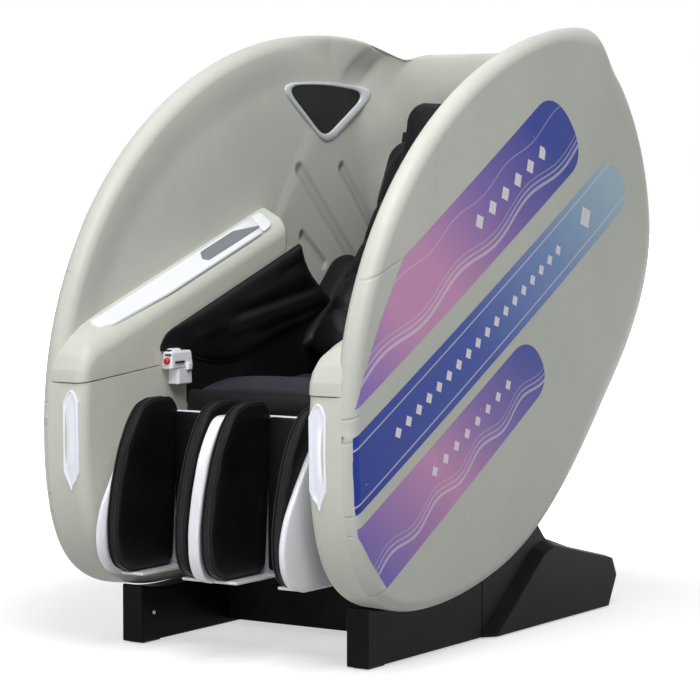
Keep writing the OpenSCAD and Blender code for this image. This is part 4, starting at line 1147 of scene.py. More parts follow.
def puff(o, cap, voxel, pressure=4.0, frames=20):
    """Swells the cover o by at most cap millimetres."""
    m = o.modifiers.new("skin", "REMESH")
    m.mode, m.voxel_size = "VOXEL", voxel
    mesh = bpy.data.meshes.new_from_object(evaluated(o))
    o.modifiers.clear()
    mat = o.data.materials[0]
    o.data = mesh
    mesh.materials.clear()
    mesh.materials.append(mat)
    start = coordinates(mesh)
    cloth = o.modifiers.new("cover", "CLOTH")
    cloth.settings.use_pressure = True
    cloth.settings.uniform_pressure_force = pressure
    cloth.settings.effector_weights.gravity = 0
    cloth.settings.quality = 4
    cloth.collision_settings.use_self_collision = False
    scene = bpy.context.scene
    for frame_number in range(1, frames + 1):
        scene.frame_set(frame_number)
    end = coordinates(evaluated(o).data)
    o.modifiers.clear()
    scene.frame_set(1)
    move = (end - start) * 1000
    size = np.linalg.norm(move, axis=1, keepdims=True)
    move *= cap * np.tanh(size / cap) / size.clip(1e-6)
    mesh.vertices.foreach_set("co", (start + move * 0.001).ravel())
    mesh.update()
    mesh.shade_smooth()
    print(f"  {o.name}: {len(mesh.vertices)} points, swelled {float(size.mean()):.1f} mm on average")


print("air pump ready")

# %% [markdown]
# The sewn channels are pressed into the swelled cover, with small gathers beside each of them. A seam's thread
# is laid on the cover by rays that find its surface from outside.

# %% Seams
def press_seams(o, form, depth, width, pucker=0.9):
    co = coordinates(o.data)
    t = np.linspace(0, 1, 400)
    path, way = bezier(form.path, t), bezier_way(form.path, t)
    p = np.stack([co[:, 1] * 1000 + NOSE_BACK, co[:, 2] * 1000], -1)
    near = np.argmin(((p[:, None, :] - path[None]) ** 2).sum(-1), axis=1)
    n = np.stack([-way[near, 1], way[near, 0]], -1)
    over = ((p - path[near]) * n).sum(-1) > 3
    along = travelled(path)
    sink = np.zeros(len(p))
    x = co[:, 0] * 1000
    for at, _ in form.channels:
        away = along[near] - at * along[-1]
        sink = np.maximum(sink, depth * np.exp(-(away / width) ** 2))
        ripple = pucker * np.sin(x / 3.1 + 2.1 * np.sin(x / 23.0)) * np.exp(-((np.abs(away) - 9) / 9) ** 2)
        sink = sink + ripple * (np.abs(away) > 2)
    fade = smooth((1 - np.abs(x) / (form.width / 2)) / 0.12)
    co[:, 1:] -= n * (sink * fade * over)[:, None] * 0.001
    o.data.vertices.foreach_set("co", co.ravel())
    o.data.update()


def thread_over(name, o, form, v, radius=1.1, reach=0.93, sink=0.5):
    tree = surface_tree(o)
    c, d = bezier(form.path, v), bezier_way(form.path, v)
    normal = np.array([-d[1], d[0]])
    pts = []
    for u in np.linspace(-reach, reach, 60):
        start = Vector((u * form.width / 2, *(c + normal * 200))) * 0.001
        start.y -= NOSE_BACK * 0.001
        hit = tree.ray_cast(start, Vector((0, -normal[0], -normal[1])))[0]
        if hit is not None:
            pts.append((hit.x * 1000, hit.y * 1000 + NOSE_BACK - normal[0] * sink, hit.z * 1000 - normal[1] * sink))
    dress(tube(name, pts, radius, piping), "leather")


def sew(name, form, finish, node, soft, cols=44, rows=70, cap=0, voxel=0.006, seams=(), body="chassis", shift=0.0):
    """A finished cushion: its form, swelled and seamed if asked, in place of its plain solid."""
    o = form.mesh(name, finish, cols, rows, body, shift)
    if cap:
        puff(o, cap, voxel)
    if seams:
        press_seams(o, form, *seams)
    return dress(finer(o), "leather", node, soft=soft)


print("seams and threads ready")

# %% [markdown]
# ## Seat
# The seat is one long cushion whose front rolls over the edge of the pan. Below it hangs a flat padded flap
# that covers the hinge, with a row of stitching along its lower edge.

# %% Seat and knee flap
SEAT_Z, SEAT_T, SEAT_BACK, SEAT_LEN, SEAT_W = 535.0, 76.0, 320.0, 402.0, 456.0
mid_z = SEAT_Z - SEAT_T / 2
seat_form = Cushion([(SEAT_BACK, mid_z - 4), (SEAT_BACK + 60, mid_z + 3), (SEAT_BACK + 290, mid_z - 1),
                     (SEAT_BACK + SEAT_LEN, mid_z + 13)], SEAT_W, SEAT_T / 2 + 8, SEAT_T / 2, 26,
                    channels=((0.4, 6), (0.7, 6)), inset=2.5, dish=50)
seat = sew("seat_cover", seat_form, painted_sheen_leather, "seat_cushion", 0.75, cap=3.2, seams=(4.5, 7))
for k, (v, _) in enumerate(seat_form.channels):
    thread_over(f"seat_seam_{k + 1}", seat, seat_form, v)

knee_form = Cushion([(302, 448), (302, 466), (304, 484), (308, 502)], SEAT_W, 13, 12, 12, 1, inset=0.6)
knee = sew("knee_flap", knee_form, leather, "knee_cushion", 0.5, 60, 30)
thread_over("knee_seam", knee, knee_form, 0.16, 0.7, 0.95, 0.2)
print("seat and knee flap sewn")

# %% [markdown]
# ## Back cushion and head pillow
# The back has two thick bolsters that hold the shoulders, with sewn channels across. The pillow hangs over its
# upper part, and a narrow wing fills the space between the backrest and the wall on each side. All of them
# follow the arc of the massage track behind them.

# %% Backrest
ARC = np.array([312.0, 1243.0])
BACK_R, BACK_LOW, BACK_HIGH, BACK_T, PILLOW_T = 805.0, 59.5, 16.66, 45, 28
WING_X = 268.0


def arc_path(r, a0, a1):
    """A cubic curve that follows the arc from a0 to a1, in degrees below the level."""
    p, q = math.radians(a0), math.radians(a1)
    k = r * 4 / 3 * math.tan((p - q) / 4)
    start, end = (ARC + r * np.array([math.cos(a), -math.sin(a)]) for a in (p, q))
    return [start, start + k * np.array([math.sin(p), math.cos(p)]),
            end - k * np.array([math.sin(q), math.cos(q)]), end]


back_form = Cushion(arc_path(BACK_R, BACK_LOW, BACK_HIGH), 468, BACK_T, 33, 50, bolster=46,
                    channels=((0.16, 9), (0.34, 9), (0.52, 9), (0.7, 9)), inset=2.5)
back = sew("back_cover", back_form, leather, "back_cushion", 0.7, 60, 110, 4.5, 0.0065, (7, 8, 1.1))
for k, (v, _) in enumerate(back_form.channels):
    thread_over(f"back_seam_{k + 1}", back, back_form, v, reach=0.96)
pillow_form = Cushion(arc_path(BACK_R - BACK_T - 3 - PILLOW_T, BACK_HIGH + 13, BACK_HIGH - 4.8), 320,
                      PILLOW_T, PILLOW_T, 46, inset=2.5)
sew("head_pillow_cover", pillow_form, leather, "head_pillow", 0.85, 40, 40, 3.2, 0.0055)
wing_form = Cushion(arc_path(BACK_R + 10, 57, 37), 74, 30, 20, 36, 0, inset=1.5)
for side, flip in SIDES:
    sew(side + "_back_wing", wing_form, leather, "back_cushion", 0.7, 24, 60, shift=-WING_X if flip else WING_X)
print("backrest, pillow and wings sewn")

# %% [markdown]
# ## Arm pads
# Below each armrest hangs a leather-covered air pad. It is a closed form between two curves, an upper one that
# follows the armrest's underside and a lower, piped one, and folds run across it where the cover is slack.
# Behind it a flat leather lining covers the side down to the seat.

# %% Arm pads
ARM_N, ARM_M = 130, 46
FOLDS = [((450, 610), (830, 676), 7, 15), ((480, 640), (800, 690), -6, 9), ((520, 668), (770, 722), 4, 13),
         ((560, 596), (800, 644), -4, 8), ((640, 716), (745, 750), -3, 8), ((330, 596), (470, 630), 3, 12)]
LINING = [(338, 470), (338, 574), (352, 592), (420, 640), (700, 738), (700, 700), (836, 660), (836, 470)]


def slack_line(points, rounds):
    """An even line of points through a few corners, with its bends softened."""
    p = np.array(points, float)
    t = travelled(p)
    p = np.stack([np.interp(np.linspace(0, t[-1], ARM_N), t, p[:, k]) for k in (0, 1)], -1)
    for _ in range(rounds):
        p[1:-1] = (p[:-2] + 2 * p[1:-1] + p[2:]) / 4
    return p


def fold(p, a, b, height, width):
    """A soft ridge, or with a negative height a crease, along the segment a to b."""
    a, b = np.array(a, float), np.array(b, float)
    size = np.linalg.norm(b - a)
    way = (b - a) / size
    t = ((p - a) @ way).clip(0, size)
    away = np.linalg.norm(p - (a + t[..., None] * way), axis=-1)
    return height * np.exp(-(away / width) ** 2) * (0.25 + 0.75 * smooth(t / 40) * smooth((size - t) / 40))


upper = slack_line([(250, 584), (256, 602), (275, 618), (301, 627), (716, 774), (744, 784)], 14)
lower = slack_line([(252, 580), (300, 574), (344, 566), (400, 553), (466, 546), (540, 556), (610, 580),
                    (723, 606), (810, 628), (882, 648)], 16)


def arm_pad_front():
    a = np.linspace(0, 1, ARM_M)
    p = upper[:, None] * (1 - a[:, None]) + lower[:, None] * a[:, None]
    tail = smooth((np.linspace(0, 1, ARM_N) - 0.8) / 0.2)[:, None]
    p[..., 0] -= tail * 30 * np.sin(np.pi * a)
    width = np.linalg.norm(upper - lower, axis=1)[:, None]
    along = travelled(upper)[:, None]
    away = np.minimum(np.minimum(a * width, (1 - a) * width), np.minimum(along, along[-1] - along))
    swell = np.sqrt((1 - (1 - (away / 34).clip(0, 1)) ** 2).clip(0))
    h = 3 + 14.5 * swell * smooth(along / 170) + sum(fold(p, *f) for f in FOLDS) * swell
    return p, h.clip(1.5, 22)


pad_p, pad_h = arm_pad_front()
wall_x = PANEL_X - SEAM
front = np.concatenate([(wall_x - pad_h)[..., None], pad_p], -1)
back_face = np.concatenate([np.full_like(pad_h, wall_x)[..., None], pad_p], -1)
n = ARM_N * ARM_M
places = np.arange(n).reshape(ARM_N, ARM_M)
rim = [int(i) for i in np.concatenate([places[:, 0], places[-1, 1:], places[-2::-1, -1], places[0, -2:0:-1]])]
faces = grid_faces(ARM_N, ARM_M) + [q[::-1] for q in grid_faces(ARM_N, ARM_M, start=n)] \
    + [(i, j, j + n, i + n) for i, j in zip(rim, rim[1:] + rim[:1])]
line = np.concatenate([front[6:, -1], front[-1, -2:2:-1]]) - [1.2, 0, 0.5]
lining = round_outline(LINING, [4, 20, 20, 60, 30, 30, 40, 4], 5)
for side, flip in SIDES:
    dress(new_mesh(side + "_arm_cover", mirror_points([front, back_face], flip), faces, leather),
          "leather", side + "_arm_pad", soft=0.45)
    dress(tube(side + "_arm_piping", mirror_points(line, flip), 2.6, piping), "leather")
    x0, x1 = (-257.8, -255.2) if flip else (255.2, 257.8)
    dress(slab(side + "_side_lining", lining, x0, x1, leather, 1.0), "leather", side + "_arm_pad", soft=0.2)
print("arm pads hung")

# %% [markdown]
# ## Calf rest
# The calf rest swings up, so all its pieces ride on its own body. White gloss plates carry four upright air
# pads. Each pad is a closed loop of leather with a broad band round its edge, between two lines of piping, and
# a soft face on both sides. Its front bows forwards low down and leans back at the top.

# %% Calf pads
CALF_TOP, CALF_LOW, CALF_BACK, CALF_WALL = 468.0, 156.0, 212.0, 15.0
PAD_T, BAND_HALF, PIPING_AT = 34.0, 8.2, 8.6
OUTER_X, INNER_X = 222 - 12 - 0.3 - PAD_T / 2, 13.5 + 0.3 + PAD_T / 2
PAD_CENTRE = np.array([107.0, 331.5])
PAD_OUTLINE = [(60, 166.5), (26, 179), (10, 212), (7, 270), (20, 336), (41, 402), (68, 454), (96, 485),
               (130, 495.5), (186, 495.5), (207, 474), (198, 330), (189, 184), (176, 166.5)]
pad_ring = round_outline(PAD_OUTLINE, [24, 200, 200, 200, 200, 200, 200, 60, 60, 26, 26, 90, 24, 20], 7)
pad_ring = pad_ring[np.linalg.norm(pad_ring - np.roll(pad_ring, -1, axis=0), axis=1) > 0.4]
# Each loop of a face: share of the outline, height above the band.
FACE_STEPS = [(1, 0.0), (0.995, 2.0), (0.985, 3.6), (0.965, 5.0), (0.93, 6.4), (0.87, 7.6), (0.78, 8.3),
              (0.66, 8.4), (0.5, 8.0), (0.34, 7.6), (0.18, 7.4), (0.03, 7.3)]


def pad_row(x, scale=1, out=0.0):
    """The pad's loop at x, scaled about its middle and then moved outwards."""
    return [(x, *(PAD_CENTRE + p * scale + p / np.linalg.norm(p) * out)) for p in pad_ring - PAD_CENTRE]


def calf_pad(name, x, flip, node):
    rows = [pad_row(-BAND_HALF - h, q) for q, h in FACE_STEPS[::-1]]
    for band in (-BAND_HALF, -7.4, -6.2, -3, 0, 3, 6.2, 7.4, BAND_HALF):
        rows.append(pad_row(band, 1, 1.4 * (1 - (band / BAND_HALF) ** 2) - (1.4 if abs(band) > 7 else 0)))
    pts = np.array(rows + [pad_row(BAND_HALF + h, q) for q, h in FACE_STEPS])
    wave = 0.5 * np.sin(pts[..., 2] / 15 + pts[..., 1] / 21) + 0.35 * np.sin(pts[..., 2] / 7.7 - pts[..., 1] / 9)
    pts[..., 0] += wave * np.sign(pts[..., 0]) * (np.abs(pts[..., 0]) > 12) * 0.8 + x
    dress(finer(loft(name, pts, leather_smooth, flip, "calf_rest")), "leather", node, soft=0.8)
    for k, dx in enumerate((-PIPING_AT, PIPING_AT)):
        line = mirror_points(pad_row(x + dx, 1, 0.6), flip)
        dress(tube(f"{name}_piping_{k + 1}", line, 1.7, piping, "calf_rest", True), "leather")


for side, flip in SIDES:
    calf_pad(side + "_outer_calf_cover", OUTER_X, flip, side + "_outer_calf_pad")
    calf_pad(side + "_inner_calf_cover", INNER_X, flip, side + "_inner_calf_pad")
print("four calf pads with double piping")

# %% [markdown]
# Behind each pair of pads a flat padded panel closes the leg well. The white shell is built of the plates that
# a moulder would split it into: two domed sides, a divider, floor plates and a back plate.

# %% Calf shell
SIDE_PLATE = [(66, 156), (20, 167), (-5, 200), (-10, 246), (4, 296), (42, 356), (78, 406), (112, 446), (146, 474),
              (213, 474), (213, 156)]
DIVIDER = [(58, 157), (26, 168), (10, 204), (8, 262), (20, 326), (40, 396), (64, 440), (92, 474), (213, 474),
           (213, 157)]
FLOOR = [(64, 157), (60, 160), (62, 163), (213, 163), (213, 157)]
BACK_PLATE = [(CALF_BACK, CALF_LOW), (CALF_BACK, CALF_TOP), (CALF_BACK + CALF_WALL, CALF_TOP),
              (CALF_BACK + CALF_WALL, CALF_LOW)]
well_x = (OUTER_X + INNER_X) / 2
well_form = Cushion([(199.7, 168), (199.7, 278), (199.7, 371), (199.7, CALF_TOP - 1)],
                    OUTER_X - INNER_X - PAD_T + 8, 11, 11.6, 8, 0, inset=0.3)
for k, (side, flip) in enumerate(SIDES):
    sew(f"calf_back_cover_{k + 1}", well_form, leather_smooth, "calf_back_pads", 0.5, 30, 50,
        body="calf_rest", shift=-well_x if flip else well_x)


def domed_plate(name, ring, x0, x1, dome, edge, flip):
    """A plate whose outer face swells towards its middle, with a rounded edge."""
    rows = [[(x0, *p) for p in ring]]
    for sin, cos in quarter(6):
        rows.append([(x1 - edge * (1 - sin), *p) for p in inwards(ring, edge * (1 - cos))])
    centre, last = ring.mean(axis=0), inwards(ring, edge)
    for q in (0.85, 0.65, 0.4, 0.15):
        rows.append([(x1 + dome * (1 - q * q), *p) for p in centre + (last - centre) * q])
    dress(loft(name, rows, gloss_white, flip, "calf_rest"), "white_gloss", "calf_shell")


def calf_plate(name, ring, x0, x1, edge, segments=3):
    dress(slab(name, ring, x0, x1, gloss_white, edge, "calf_rest", segments), "white_gloss", "calf_shell")


side_ring = round_outline(SIDE_PLATE, [24, 200, 200, 200, 200, 200, 200, 200, 30, 8, 10], 7)
for side, flip in SIDES:
    domed_plate(side + "_calf_side", side_ring, 210.2, 221, 2.4, 6, flip)
    for k, (x0, x1) in enumerate(((158.7, 212.0), (0.0, 64.5))):
        calf_plate(f"{side}_calf_floor_{k + 1}", round_outline(FLOOR, 2, 3), -x1 if flip else x0,
                   -x0 if flip else x1, 1.5)
calf_plate("calf_divider", round_outline(DIVIDER, [20, 200, 200, 200, 200, 200, 200, 40, 8, 10], 7),
           -13.2, 13.2, 6.0, 5)
calf_plate("calf_back_plate", round_outline(BACK_PLATE, 5, 4), -221.5, 221.5, 3.0)
print("calf shell: sides, floors, divider and back plate")

# %% [markdown]
# ## Payment reader
# A small white unit takes tokens and cards beside the seat: an upper body with two slots, a box below it, a
# short knob at its side, and the red stop button on its front.

# %% Payment reader
def reader_piece(name, lo, hi, finish, edge, taper=0.0):
    """A moulded box whose top is narrower by taper on every side."""
    (x0, d0, z0), (x1, d1, z1) = lo, hi
    rows = []
    for t in (0, 0.5, 1):
        k, z = taper * t, z0 + (z1 - z0) * t
        rows.append([(x0 + k, d0 + k, z), (x1 - k, d0 + k, z), (x1 - k, d1 - k, z), (x0 + k, d1 - k, z)])
    dress(bevel(loft(name, rows, finish), edge, 3, 30), "white_gloss", "payment_reader")


for name, lo, hi, edge, taper in (
        ("body", (-257.6, 252, 543), (-229, 326, 580), 5, 3), ("hood", (-257.6, 258, 566), (-233, 300, 585), 6, 4),
        ("box", (-257.6, 276, 512), (-230, 322, 546), 3, 0.6), ("knob", (-236, 300, 540), (-224, 316, 556), 3, 1)):
    reader_piece("reader_" + name, lo, hi, gloss_white, edge, taper)
# The slots are thin dark boxes set over the openings; their dark colour is painted shade inside the slots.
for k, (lo, hi) in enumerate((((-250, 256, 579.5), (-238, 290, 582.5)), ((-246, 251.2, 571), (-232, 254, 574.5)),
                              ((-228.6, 262, 556), (-226.4, 292, 560)))):
    reader_piece(f"reader_slot_{k + 1}", lo, hi, slot_shade, 0.6)
dress(turned("stop_button_cap", [(0, 0), (6.8, 0), (6.8, -6.2), (6.2, -7.8), (4.6, -8.8), (0, -9)],
             (-241, 255, 560), (0, 1, 0), red, "stop_button"), "button_red", "stop_button")
print("payment reader assembled")

# %% [markdown]
# ## Base
# The base is black moulded plastic: two skirts in front, two boots behind with a raised outer panel, and a
# recessed panel across. Their tops are cut to the pod's own curve, so the same leaf function draws them.

# %% Skirts and boots
SKIRT_BACK, SKIRT_IN, SKIRT_OUT = 167.0, 243.0, 292.0
BOOT_BACK, BOOT_END, BOOT_X, FOOT = 592.0, 1099.0, 313.0, 3.0
BOOT_CROWN_END = 795
BOOT_TOP = [(BOOT_BACK + 224, 208), (BOOT_BACK + 258, 173), (BOOT_BACK + 354, 145), (BOOT_END + 24, 107),
            (BOOT_END + 38, 64), (BOOT_END, FOOT)]
FACE_LOW = [(583, FOOT), (690, 85), (798, 165), (846, 176), (946, 146.5), (1122, 107.5), (1135.5, 64), (1098, FOOT)]
FACE_HIGH = [(612, FOOT + 0.5), (712, 76), (811, 148), (848, 160), (948, 140), (1110, 104.5), (1129, 66),
             (1094, FOOT + 0.5)]


def under_pod(d0, d1):
    """The pod's underside between two places, front to rear."""
    p = leaf(np.linspace(2.0, 3.6, 1600), -0.8)
    p = p[np.argsort(p[:, 0])]
    return [(x, float(np.interp(x, p[:, 0], p[:, 1]))) for x in np.linspace(d0, d1, 24)]


def raised_face(name, flip):
    """The boot's outer panel: a loop on the flush face rises over a slanting ridge to a loop further out."""
    a = round_outline(FACE_LOW, [3, 200, 30, 60, 60, 10, 8, 3], 6)
    b = round_outline(FACE_HIGH, [3, 200, 26, 50, 60, 10, 8, 3], 6)
    rows = [[(x, *p) for p in a * (1 - t) + b * t] for t, x in (
        (0.0, SKIRT_OUT - 1), (0.0, SKIRT_OUT), (0.12, SKIRT_OUT + 1.0), (0.5, SKIRT_OUT + 11),
        (0.86, BOOT_X - 1.2), (1.0, BOOT_X))]
    centre = b.mean(axis=0)
    rows.append([(BOOT_X, *p) for p in centre + (b - centre) * 0.97])
    return loft(name, rows, base_black, flip, first_cap=False)


skirt_end = BOOT_BACK - 0.4
skirt_ring = [(SKIRT_BACK, FOOT)] + under_pod(SKIRT_BACK, skirt_end) + [(skirt_end, FOOT)]
crown_line = under_pod(BOOT_BACK, BOOT_CROWN_END)
boot_ring = [(BOOT_BACK, FOOT)] + crown_line + list(round_outline(
    [(BOOT_CROWN_END + 0.5, crown_line[-1][1])] + BOOT_TOP, [1, 46, 50, 60, 8, 8, 1], 6))
for side, flip in SIDES:
    x0, x1 = (-SKIRT_OUT, -SKIRT_IN) if flip else (SKIRT_IN, SKIRT_OUT)
    dress(slab(side + "_skirt_moulding", skirt_ring, x0, x1, base_black, 3.5), "base_plastic", side + "_skirt")
    dress(slab(side + "_boot_moulding", boot_ring, x0, x1, base_black, 3.0), "base_plastic", side + "_boot")
    dress(raised_face(side + "_boot_face", flip), "base_plastic", side + "_boot")
    inner = -SKIRT_IN if flip else SKIRT_IN
    for k, (d, z) in enumerate(((SKIRT_BACK + 40, 60), (BOOT_BACK - 60, 40))):
        screw_head(f"{side}_skirt_screw_{k + 1}", (inner, d, z), (-inner, 0, 0))
print("skirts and boots moulded")

# %% [markdown]
# The panel across, between the skirts, has a step half way up and four countersunk screws. It is set well back,
# so feet have room below the calf rest.

# %% Cross panel
PANEL_STEP = [(470, 12), (462, 12), (462, 94), (457, 98), (457, 165), (470, 165)]
dress(slab("cross_panel_moulding", round_outline(PANEL_STEP, 1.5, 3), -242.4, 242.4, base_black, 1.5),
      "base_plastic", "cross_panel")
for k, x in enumerate((-180, -60, 60, 180)):
    screw_head(f"panel_screw_{k + 1}", (x, 457.2, 135), (0, -1, 0), 5.4)
print("cross panel with four screws")

# %% [markdown]
# ## Printed bands
# Three printed bands run up each outer face. Each is a thin film laid on the crowned shell: its rows run
# straight along the band, its front is cut along the rim, and its rear end is rounded.

# %% Band outlines
BAND_WAY = np.array([math.cos(math.radians(28.4)), math.sin(math.radians(28.4))])
BAND_UP = np.array([-BAND_WAY[1], BAND_WAY[0]])
FILM, RIM_CLEAR, END_POWER = 0.3, 9.0, 2.3


def reach_by_angle(inset):
    """Angles round the leaf's centre, in rising order, and how far its edge lies out there."""
    s = np.linspace(0, 4, 4000, endpoint=False)
    v = leaf(s, edge_r(s) * inset) - CENTRE
    turn = np.arctan2(v[:, 1], v[:, 0])
    order = np.argsort(turn)
    return turn[order], np.linalg.norm(v, axis=1)[order]


FACE_REACH, EDGE_REACH = reach_by_angle(1), reach_by_angle(0)


def outer_x(p):
    """How far out the skin stands at a point of the side plane, and how much rim is left beyond it."""
    v = np.asarray(p, float) - CENTRE
    angle, size = np.arctan2(v[..., 1], v[..., 0]), np.linalg.norm(v, axis=-1)
    far, edge = (np.interp(angle, *reach, period=2 * math.pi) for reach in (FACE_REACH, EDGE_REACH))
    q = size / far
    left = (RIM * (edge - size) / (edge - far)).clip(0, RIM)
    roll = HALF_W - RIM + np.sqrt((RIM ** 2 - (RIM - left) ** 2).clip(0))
    return np.where(q <= 1, HALF_W + CROWN * (1 - q * q), roll), left


def clear_of_rim(p):
    """Slides a point along the band until it lies far enough inside the leaf's edge."""
    for _ in range(400):
        if outer_x(p)[1] > RIM_CLEAR:
            break
        p = p + BAND_WAY
    return p


def band(name, cut, end, end_r, finish, flip, rows=30, cols=140):
    """cut: the front edge's points from top to bottom; end: upper and lower corners of the rear."""
    cut, end = np.array(cut, float), np.array(end, float)
    pts = []
    for b in (1 - np.cos(np.pi * np.linspace(0, 1, rows))) / 2:
        t = b * (len(cut) - 1)
        k = min(int(t), len(cut) - 2)
        start = clear_of_rim(cut[k] + (cut[k + 1] - cut[k]) * (t - k))
        bulge = (1 - abs(2 * b - 1) ** END_POWER) ** (1 / END_POWER)
        stop = end[0] + (end[1] - end[0]) * b + BAND_WAY * end_r * bulge
        line = start + (stop - start) * (np.linspace(0, 1, cols) ** 1.8)[:, None]
        pts.append(np.c_[outer_x(line)[0] + FILM, line])
    return grid(name, mirror_points(pts, flip), finish)


print("three band outlines, cut", RIM_CLEAR, "mm inside the leaf's edge")

# %% [markdown]
# The print's colour follows one axis along the band, so a ramp on that coordinate gives the blend. Waves are
# the distance to a sine line, and a row of diamonds comes from the fraction of a coordinate, so no picture is
# needed. Small sparks are the centres of random cells.

# %% Print finishes
CREAM, SPARK = srgb(244, 240, 246), srgb(233, 212, 240)
BLUE, VIOLET, PINK, PALE = srgb(52, 72, 168), srgb(134, 112, 190), srgb(214, 156, 200), srgb(176, 208, 224)
SOFT = 0.0006


def print_finish(name, stops, start, size, waves, rows, sparks):
    """waves: middle, height, length, half width, share; rows: middle, gap, radius, from, to."""
    f = Finish(name)
    _, y, z = f.axes()
    d = y + NOSE_BACK * 0.001
    u = d * float(BAND_WAY[0]) + z * float(BAND_WAY[1])
    v = d * float(BAND_UP[0]) + z * float(BAND_UP[1])
    tone = f.node("ShaderNodeValToRGB", {"stops": stops}, {0: (u + v * 0.5 - start) / size})
    for middle, height, length, half, share in waves:
        away = abs(v - (u * (2 * math.pi / length)).sine() * height - middle)
        tone = f.mix((1 - away.step(half - SOFT, half + SOFT)) * share, tone, CREAM)
    for middle, gap, radius, first, last in rows:
        along = abs(((u - first) / gap).maths("FRACT") - 0.5) * gap
        inside = (1 - (along + abs(v - middle)).step(radius - SOFT, radius + SOFT)) \
            * u.step(first - 0.001, first) * (1 - u.step(last, last + 0.001))
        tone = f.mix(inside, tone, CREAM)
    spots = (1 - f.cells(sparks, "F1").step(0.03, 0.05)) * f.noise(7.3, 0).step(0.5, 0.56)
    grain = f.noise(300, 2)
    return f.surface(Base_Color=f.mix(spots, tone, SPARK), Roughness=grain * 0.08 + 0.3,
                     Normal=f.bump(grain, 0.05, 0.1), Specular_IOR_Level=0.12)


# Each band: front edge, rear corners, length of the rounded end, and what its print is made of.
BANDS = {
    "upper": ([(172, 781), (94, 668), (69, 624), (35, 562), (14, 508)], [(676, 1070), (806, 935)], 75, (
        [(0.0, srgb(150, 124, 200)), (0.2, PINK), (0.36, PINK), (0.62, VIOLET), (0.86, BLUE)], 0.52, 0.98,
        [(0.474, 0.010, 0.30, 0.0035, 0.5), (0.486, 0.010, 0.30, 0.0022, 0.4),
         (0.497, 0.010, 0.30, 0.0014, 0.3), (0.575, 0.006, 0.22, 0.0014, 0.3)],
        [(0.532, 0.056, 0.017, 0.76, 1.08)], 24)),
    "middle": ([(8, 456), (2, 382), (8, 309)], [(914, 938), (1010, 845)], 80, (
        [(0.0, srgb(40, 62, 158)), (0.4, srgb(60, 86, 176)), (0.68, srgb(124, 152, 206)), (0.94, PALE)], 0.35, 1.20,
        [(0.282, 0.0, 1.0, 0.0016, 0.55), (0.376, 0.0, 1.0, 0.0016, 0.55)],
        [(0.330, 0.040, 0.0125, 0.33, 1.05), (0.330, 0.13, 0.026, 1.10, 1.23)], 30)),
    "lower": ([(18, 286), (59, 230), (117, 170)], [(568, 583), (662, 481)], 72, (
        [(0.0, srgb(128, 112, 194)), (0.2, srgb(176, 136, 198)), (0.4, PINK), (0.68, VIOLET), (0.94, BLUE)],
        0.24, 0.74,
        [(0.135, 0.009, 0.18, 0.0030, 0.5), (0.147, 0.009, 0.18, 0.0018, 0.4), (0.158, 0.009, 0.18, 0.0012, 0.3)],
        [(0.196, 0.044, 0.012, 0.40, 0.75)], 26))}
for key, (cut, end, end_r, pattern) in BANDS.items():
    finish = print_finish(key + " band print", *pattern)
    for side, flip in SIDES:
        dress(band(f"{side}_{key}_band", cut, end, end_r, finish, flip), "shell")
print("printed bands:", len(BANDS) * 2)

# %% [markdown]
# ## Camera, lights and floor
# The camera stands where the chair is seen from its left front corner, with a long lens, so that upright edges
# stay upright. A broad lamp from the upper front gives the rim its highlight, one from the side lights the
# outer face, and three weak ones reach into the opening and under it. A pale surround fills the rest.

# %% Camera and lamps
def stand(name, data, place_, ahead):
    """Puts a camera or a lamp at a place, looking along a direction."""
    o = bpy.data.objects.new(name, data)
    bpy.context.scene.collection.objects.link(o)
    o.location = place_
    o.rotation_euler = ahead.to_track_quat("-Z", "Y").to_euler()
    return o


AZIMUTH, TILT = math.radians(33.2), math.radians(3.8)
cam = bpy.data.cameras.new("camera")
cam.lens, cam.sensor_width = 142.46, 36
bpy.context.scene.camera = stand("camera", cam, (3.0935, -4.8090, 0.950), Vector((
    -math.sin(AZIMUTH) * math.cos(TILT), math.cos(AZIMUTH) * math.cos(TILT), -math.sin(TILT))))

for name, at, aim, size, watts, colour in (
        ("key", (-3.0, -3.2, 3.0), (0, 0, 0.7), 2.2, 30, (1, 0.99, 0.97)),
        ("front", (0.4, -4.4, 0.7), (0, -0.2, 0.5), 1.8, 16, (1, 1, 1)),
        ("low front", (0.0, -2.6, 0.14), (0, -0.3, 0.35), 0.8, 6, (1, 1, 1)),
        ("over the opening", (0.3, -0.9, 2.3), (-0.2, 0.1, 0.8), 0.7, 13, (1, 1, 1)),
        ("side", (1.9, -2.4, 3.4), (0.2, 0, 0.8), 1.6, 76, (1, 1, 1))):
    data = bpy.data.lights.new(name, "AREA")
    data.shape, data.size, data.energy, data.color = "SQUARE", size, watts, colour
    stand(name, data, at, Vector(aim) - Vector(at))
print("camera and five lamps placed")

# %% [markdown]
# The background is white because of its own colour, not because of more light on the chair. Rays from the
# camera, mirrors and glass see a bright surround and a glowing floor; all other rays see dim ones. Near the
# chair the floor stays a plain pale surface, so that it keeps the shadow.

# %% Surround and floor
DIM_WORLD, FLOOR_GLOW, GLOW_FLOOR = 0.3, 2.2, 0.25


def eye_rays(tree):
    """1 for rays from the camera, mirrors or glass, 0 for the light that falls on the chair."""
    path = tree.nodes.new("ShaderNodeLightPath")
    last = path.outputs["Is Camera Ray"]
    for name in ("Is Glossy Ray", "Is Transmission Ray"):
        either = tree.nodes.new("ShaderNodeMath")
        either.operation = "MAXIMUM"
        tree.links.new(last, either.inputs[0])
        tree.links.new(path.outputs[name], either.inputs[1])
        last = either.outputs[0]
    return last


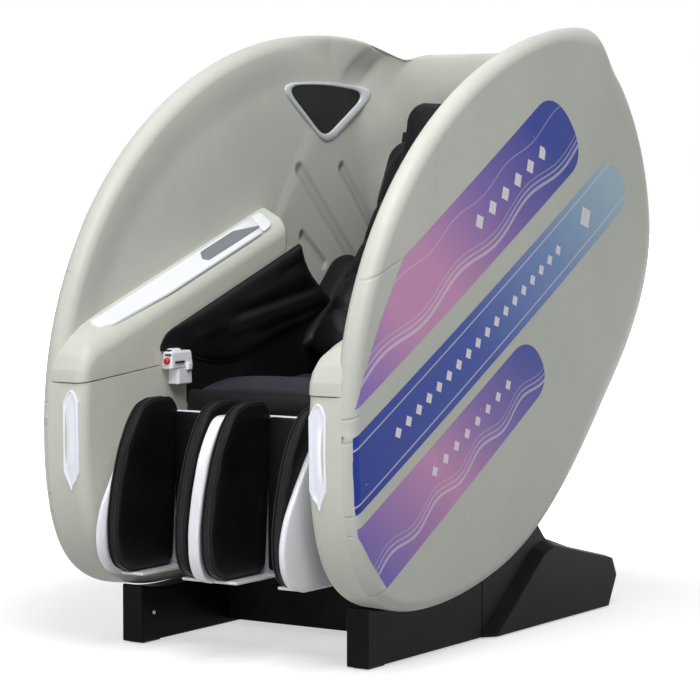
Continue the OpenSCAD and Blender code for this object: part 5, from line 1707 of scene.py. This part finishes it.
world = bpy.data.worlds.new("studio")
bpy.context.scene.world = world
world.use_nodes = True
tree = world.node_tree
strength = tree.nodes.new("ShaderNodeMapRange")
strength.inputs["To Min"].default_value = DIM_WORLD
tree.links.new(eye_rays(tree), strength.inputs["Value"])
tree.links.new(strength.outputs["Result"], tree.nodes["Background"].inputs["Strength"])
tree.nodes["Background"].inputs["Color"].default_value = (1, 1, 1, 1)

bpy.ops.mesh.primitive_plane_add(size=60, location=(0, 0, 0))
floor = bpy.context.object
floor.name = "floor"
f = Finish("studio floor")
grain = f.noise(3, 2)
f.surface(Base_Color=f.mix(grain, (0.90, 0.90, 0.90), (0.92, 0.92, 0.92)), Roughness=grain * 0.1 + 0.8)
lit = Value(f, f.output.inputs["Surface"].links[0].from_socket)
glow = f.node("ShaderNodeEmission", None, {"Color": (1, 1, 1, 1), "Strength": FLOOR_GLOW})
dim = f.node("ShaderNodeBsdfDiffuse", None, {"Color": (0.4, 0.4, 0.4, 1)})
x, y, _ = f.axes()
far = ((x * x + y * y) ** 0.5).step(0.7, 2.2)
seen = f.node("ShaderNodeMixShader", None, {0: far * (1 - GLOW_FLOOR) + GLOW_FLOOR, 1: lit, 2: glow})
both = f.node("ShaderNodeMixShader", None, {0: Value(f, eye_rays(f.tree)), 1: dim, 2: seen})
f.tree.links.new(both.socket, f.output.inputs["Surface"])
floor.data.materials.append(f.mat)
bpy.context.scene.view_settings.view_transform = "Standard"
print("studio set")

# %% [markdown]
# ## Finishes for the parts that keep their engineering mesh
# Frame tubes, tracks, pump, wheels and other plain machined parts already have their true shape. They only
# need a finish.

# %% Dress the kept nodes
KEEP = (
    (frame_paint, "left_side_frame right_side_frame frame_crossbars seat_pan"),
    (base_black, "rear_base_panel power_inlet actuator_body"), (inside_black, "back_board"),
    (rubber, "rubber_feet left_wheel right_wheel"), (nylon, "kneading_shaft"),
    (zinc, "left_track right_track massage_carriage calf_hinge_arms"),
    (bright, "drive_shaft wheel_axle actuator_rod"), (box_plastic, "control_box"), (pump_paint, "air_pump"))
for finish, names in KEEP:
    for name in names.split():
        materials = frame["nodes"][name].data.materials
        materials.clear()
        materials.append(finish.mat)
print("kept nodes dressed:", sum(len(names.split()) for _, names in KEEP))
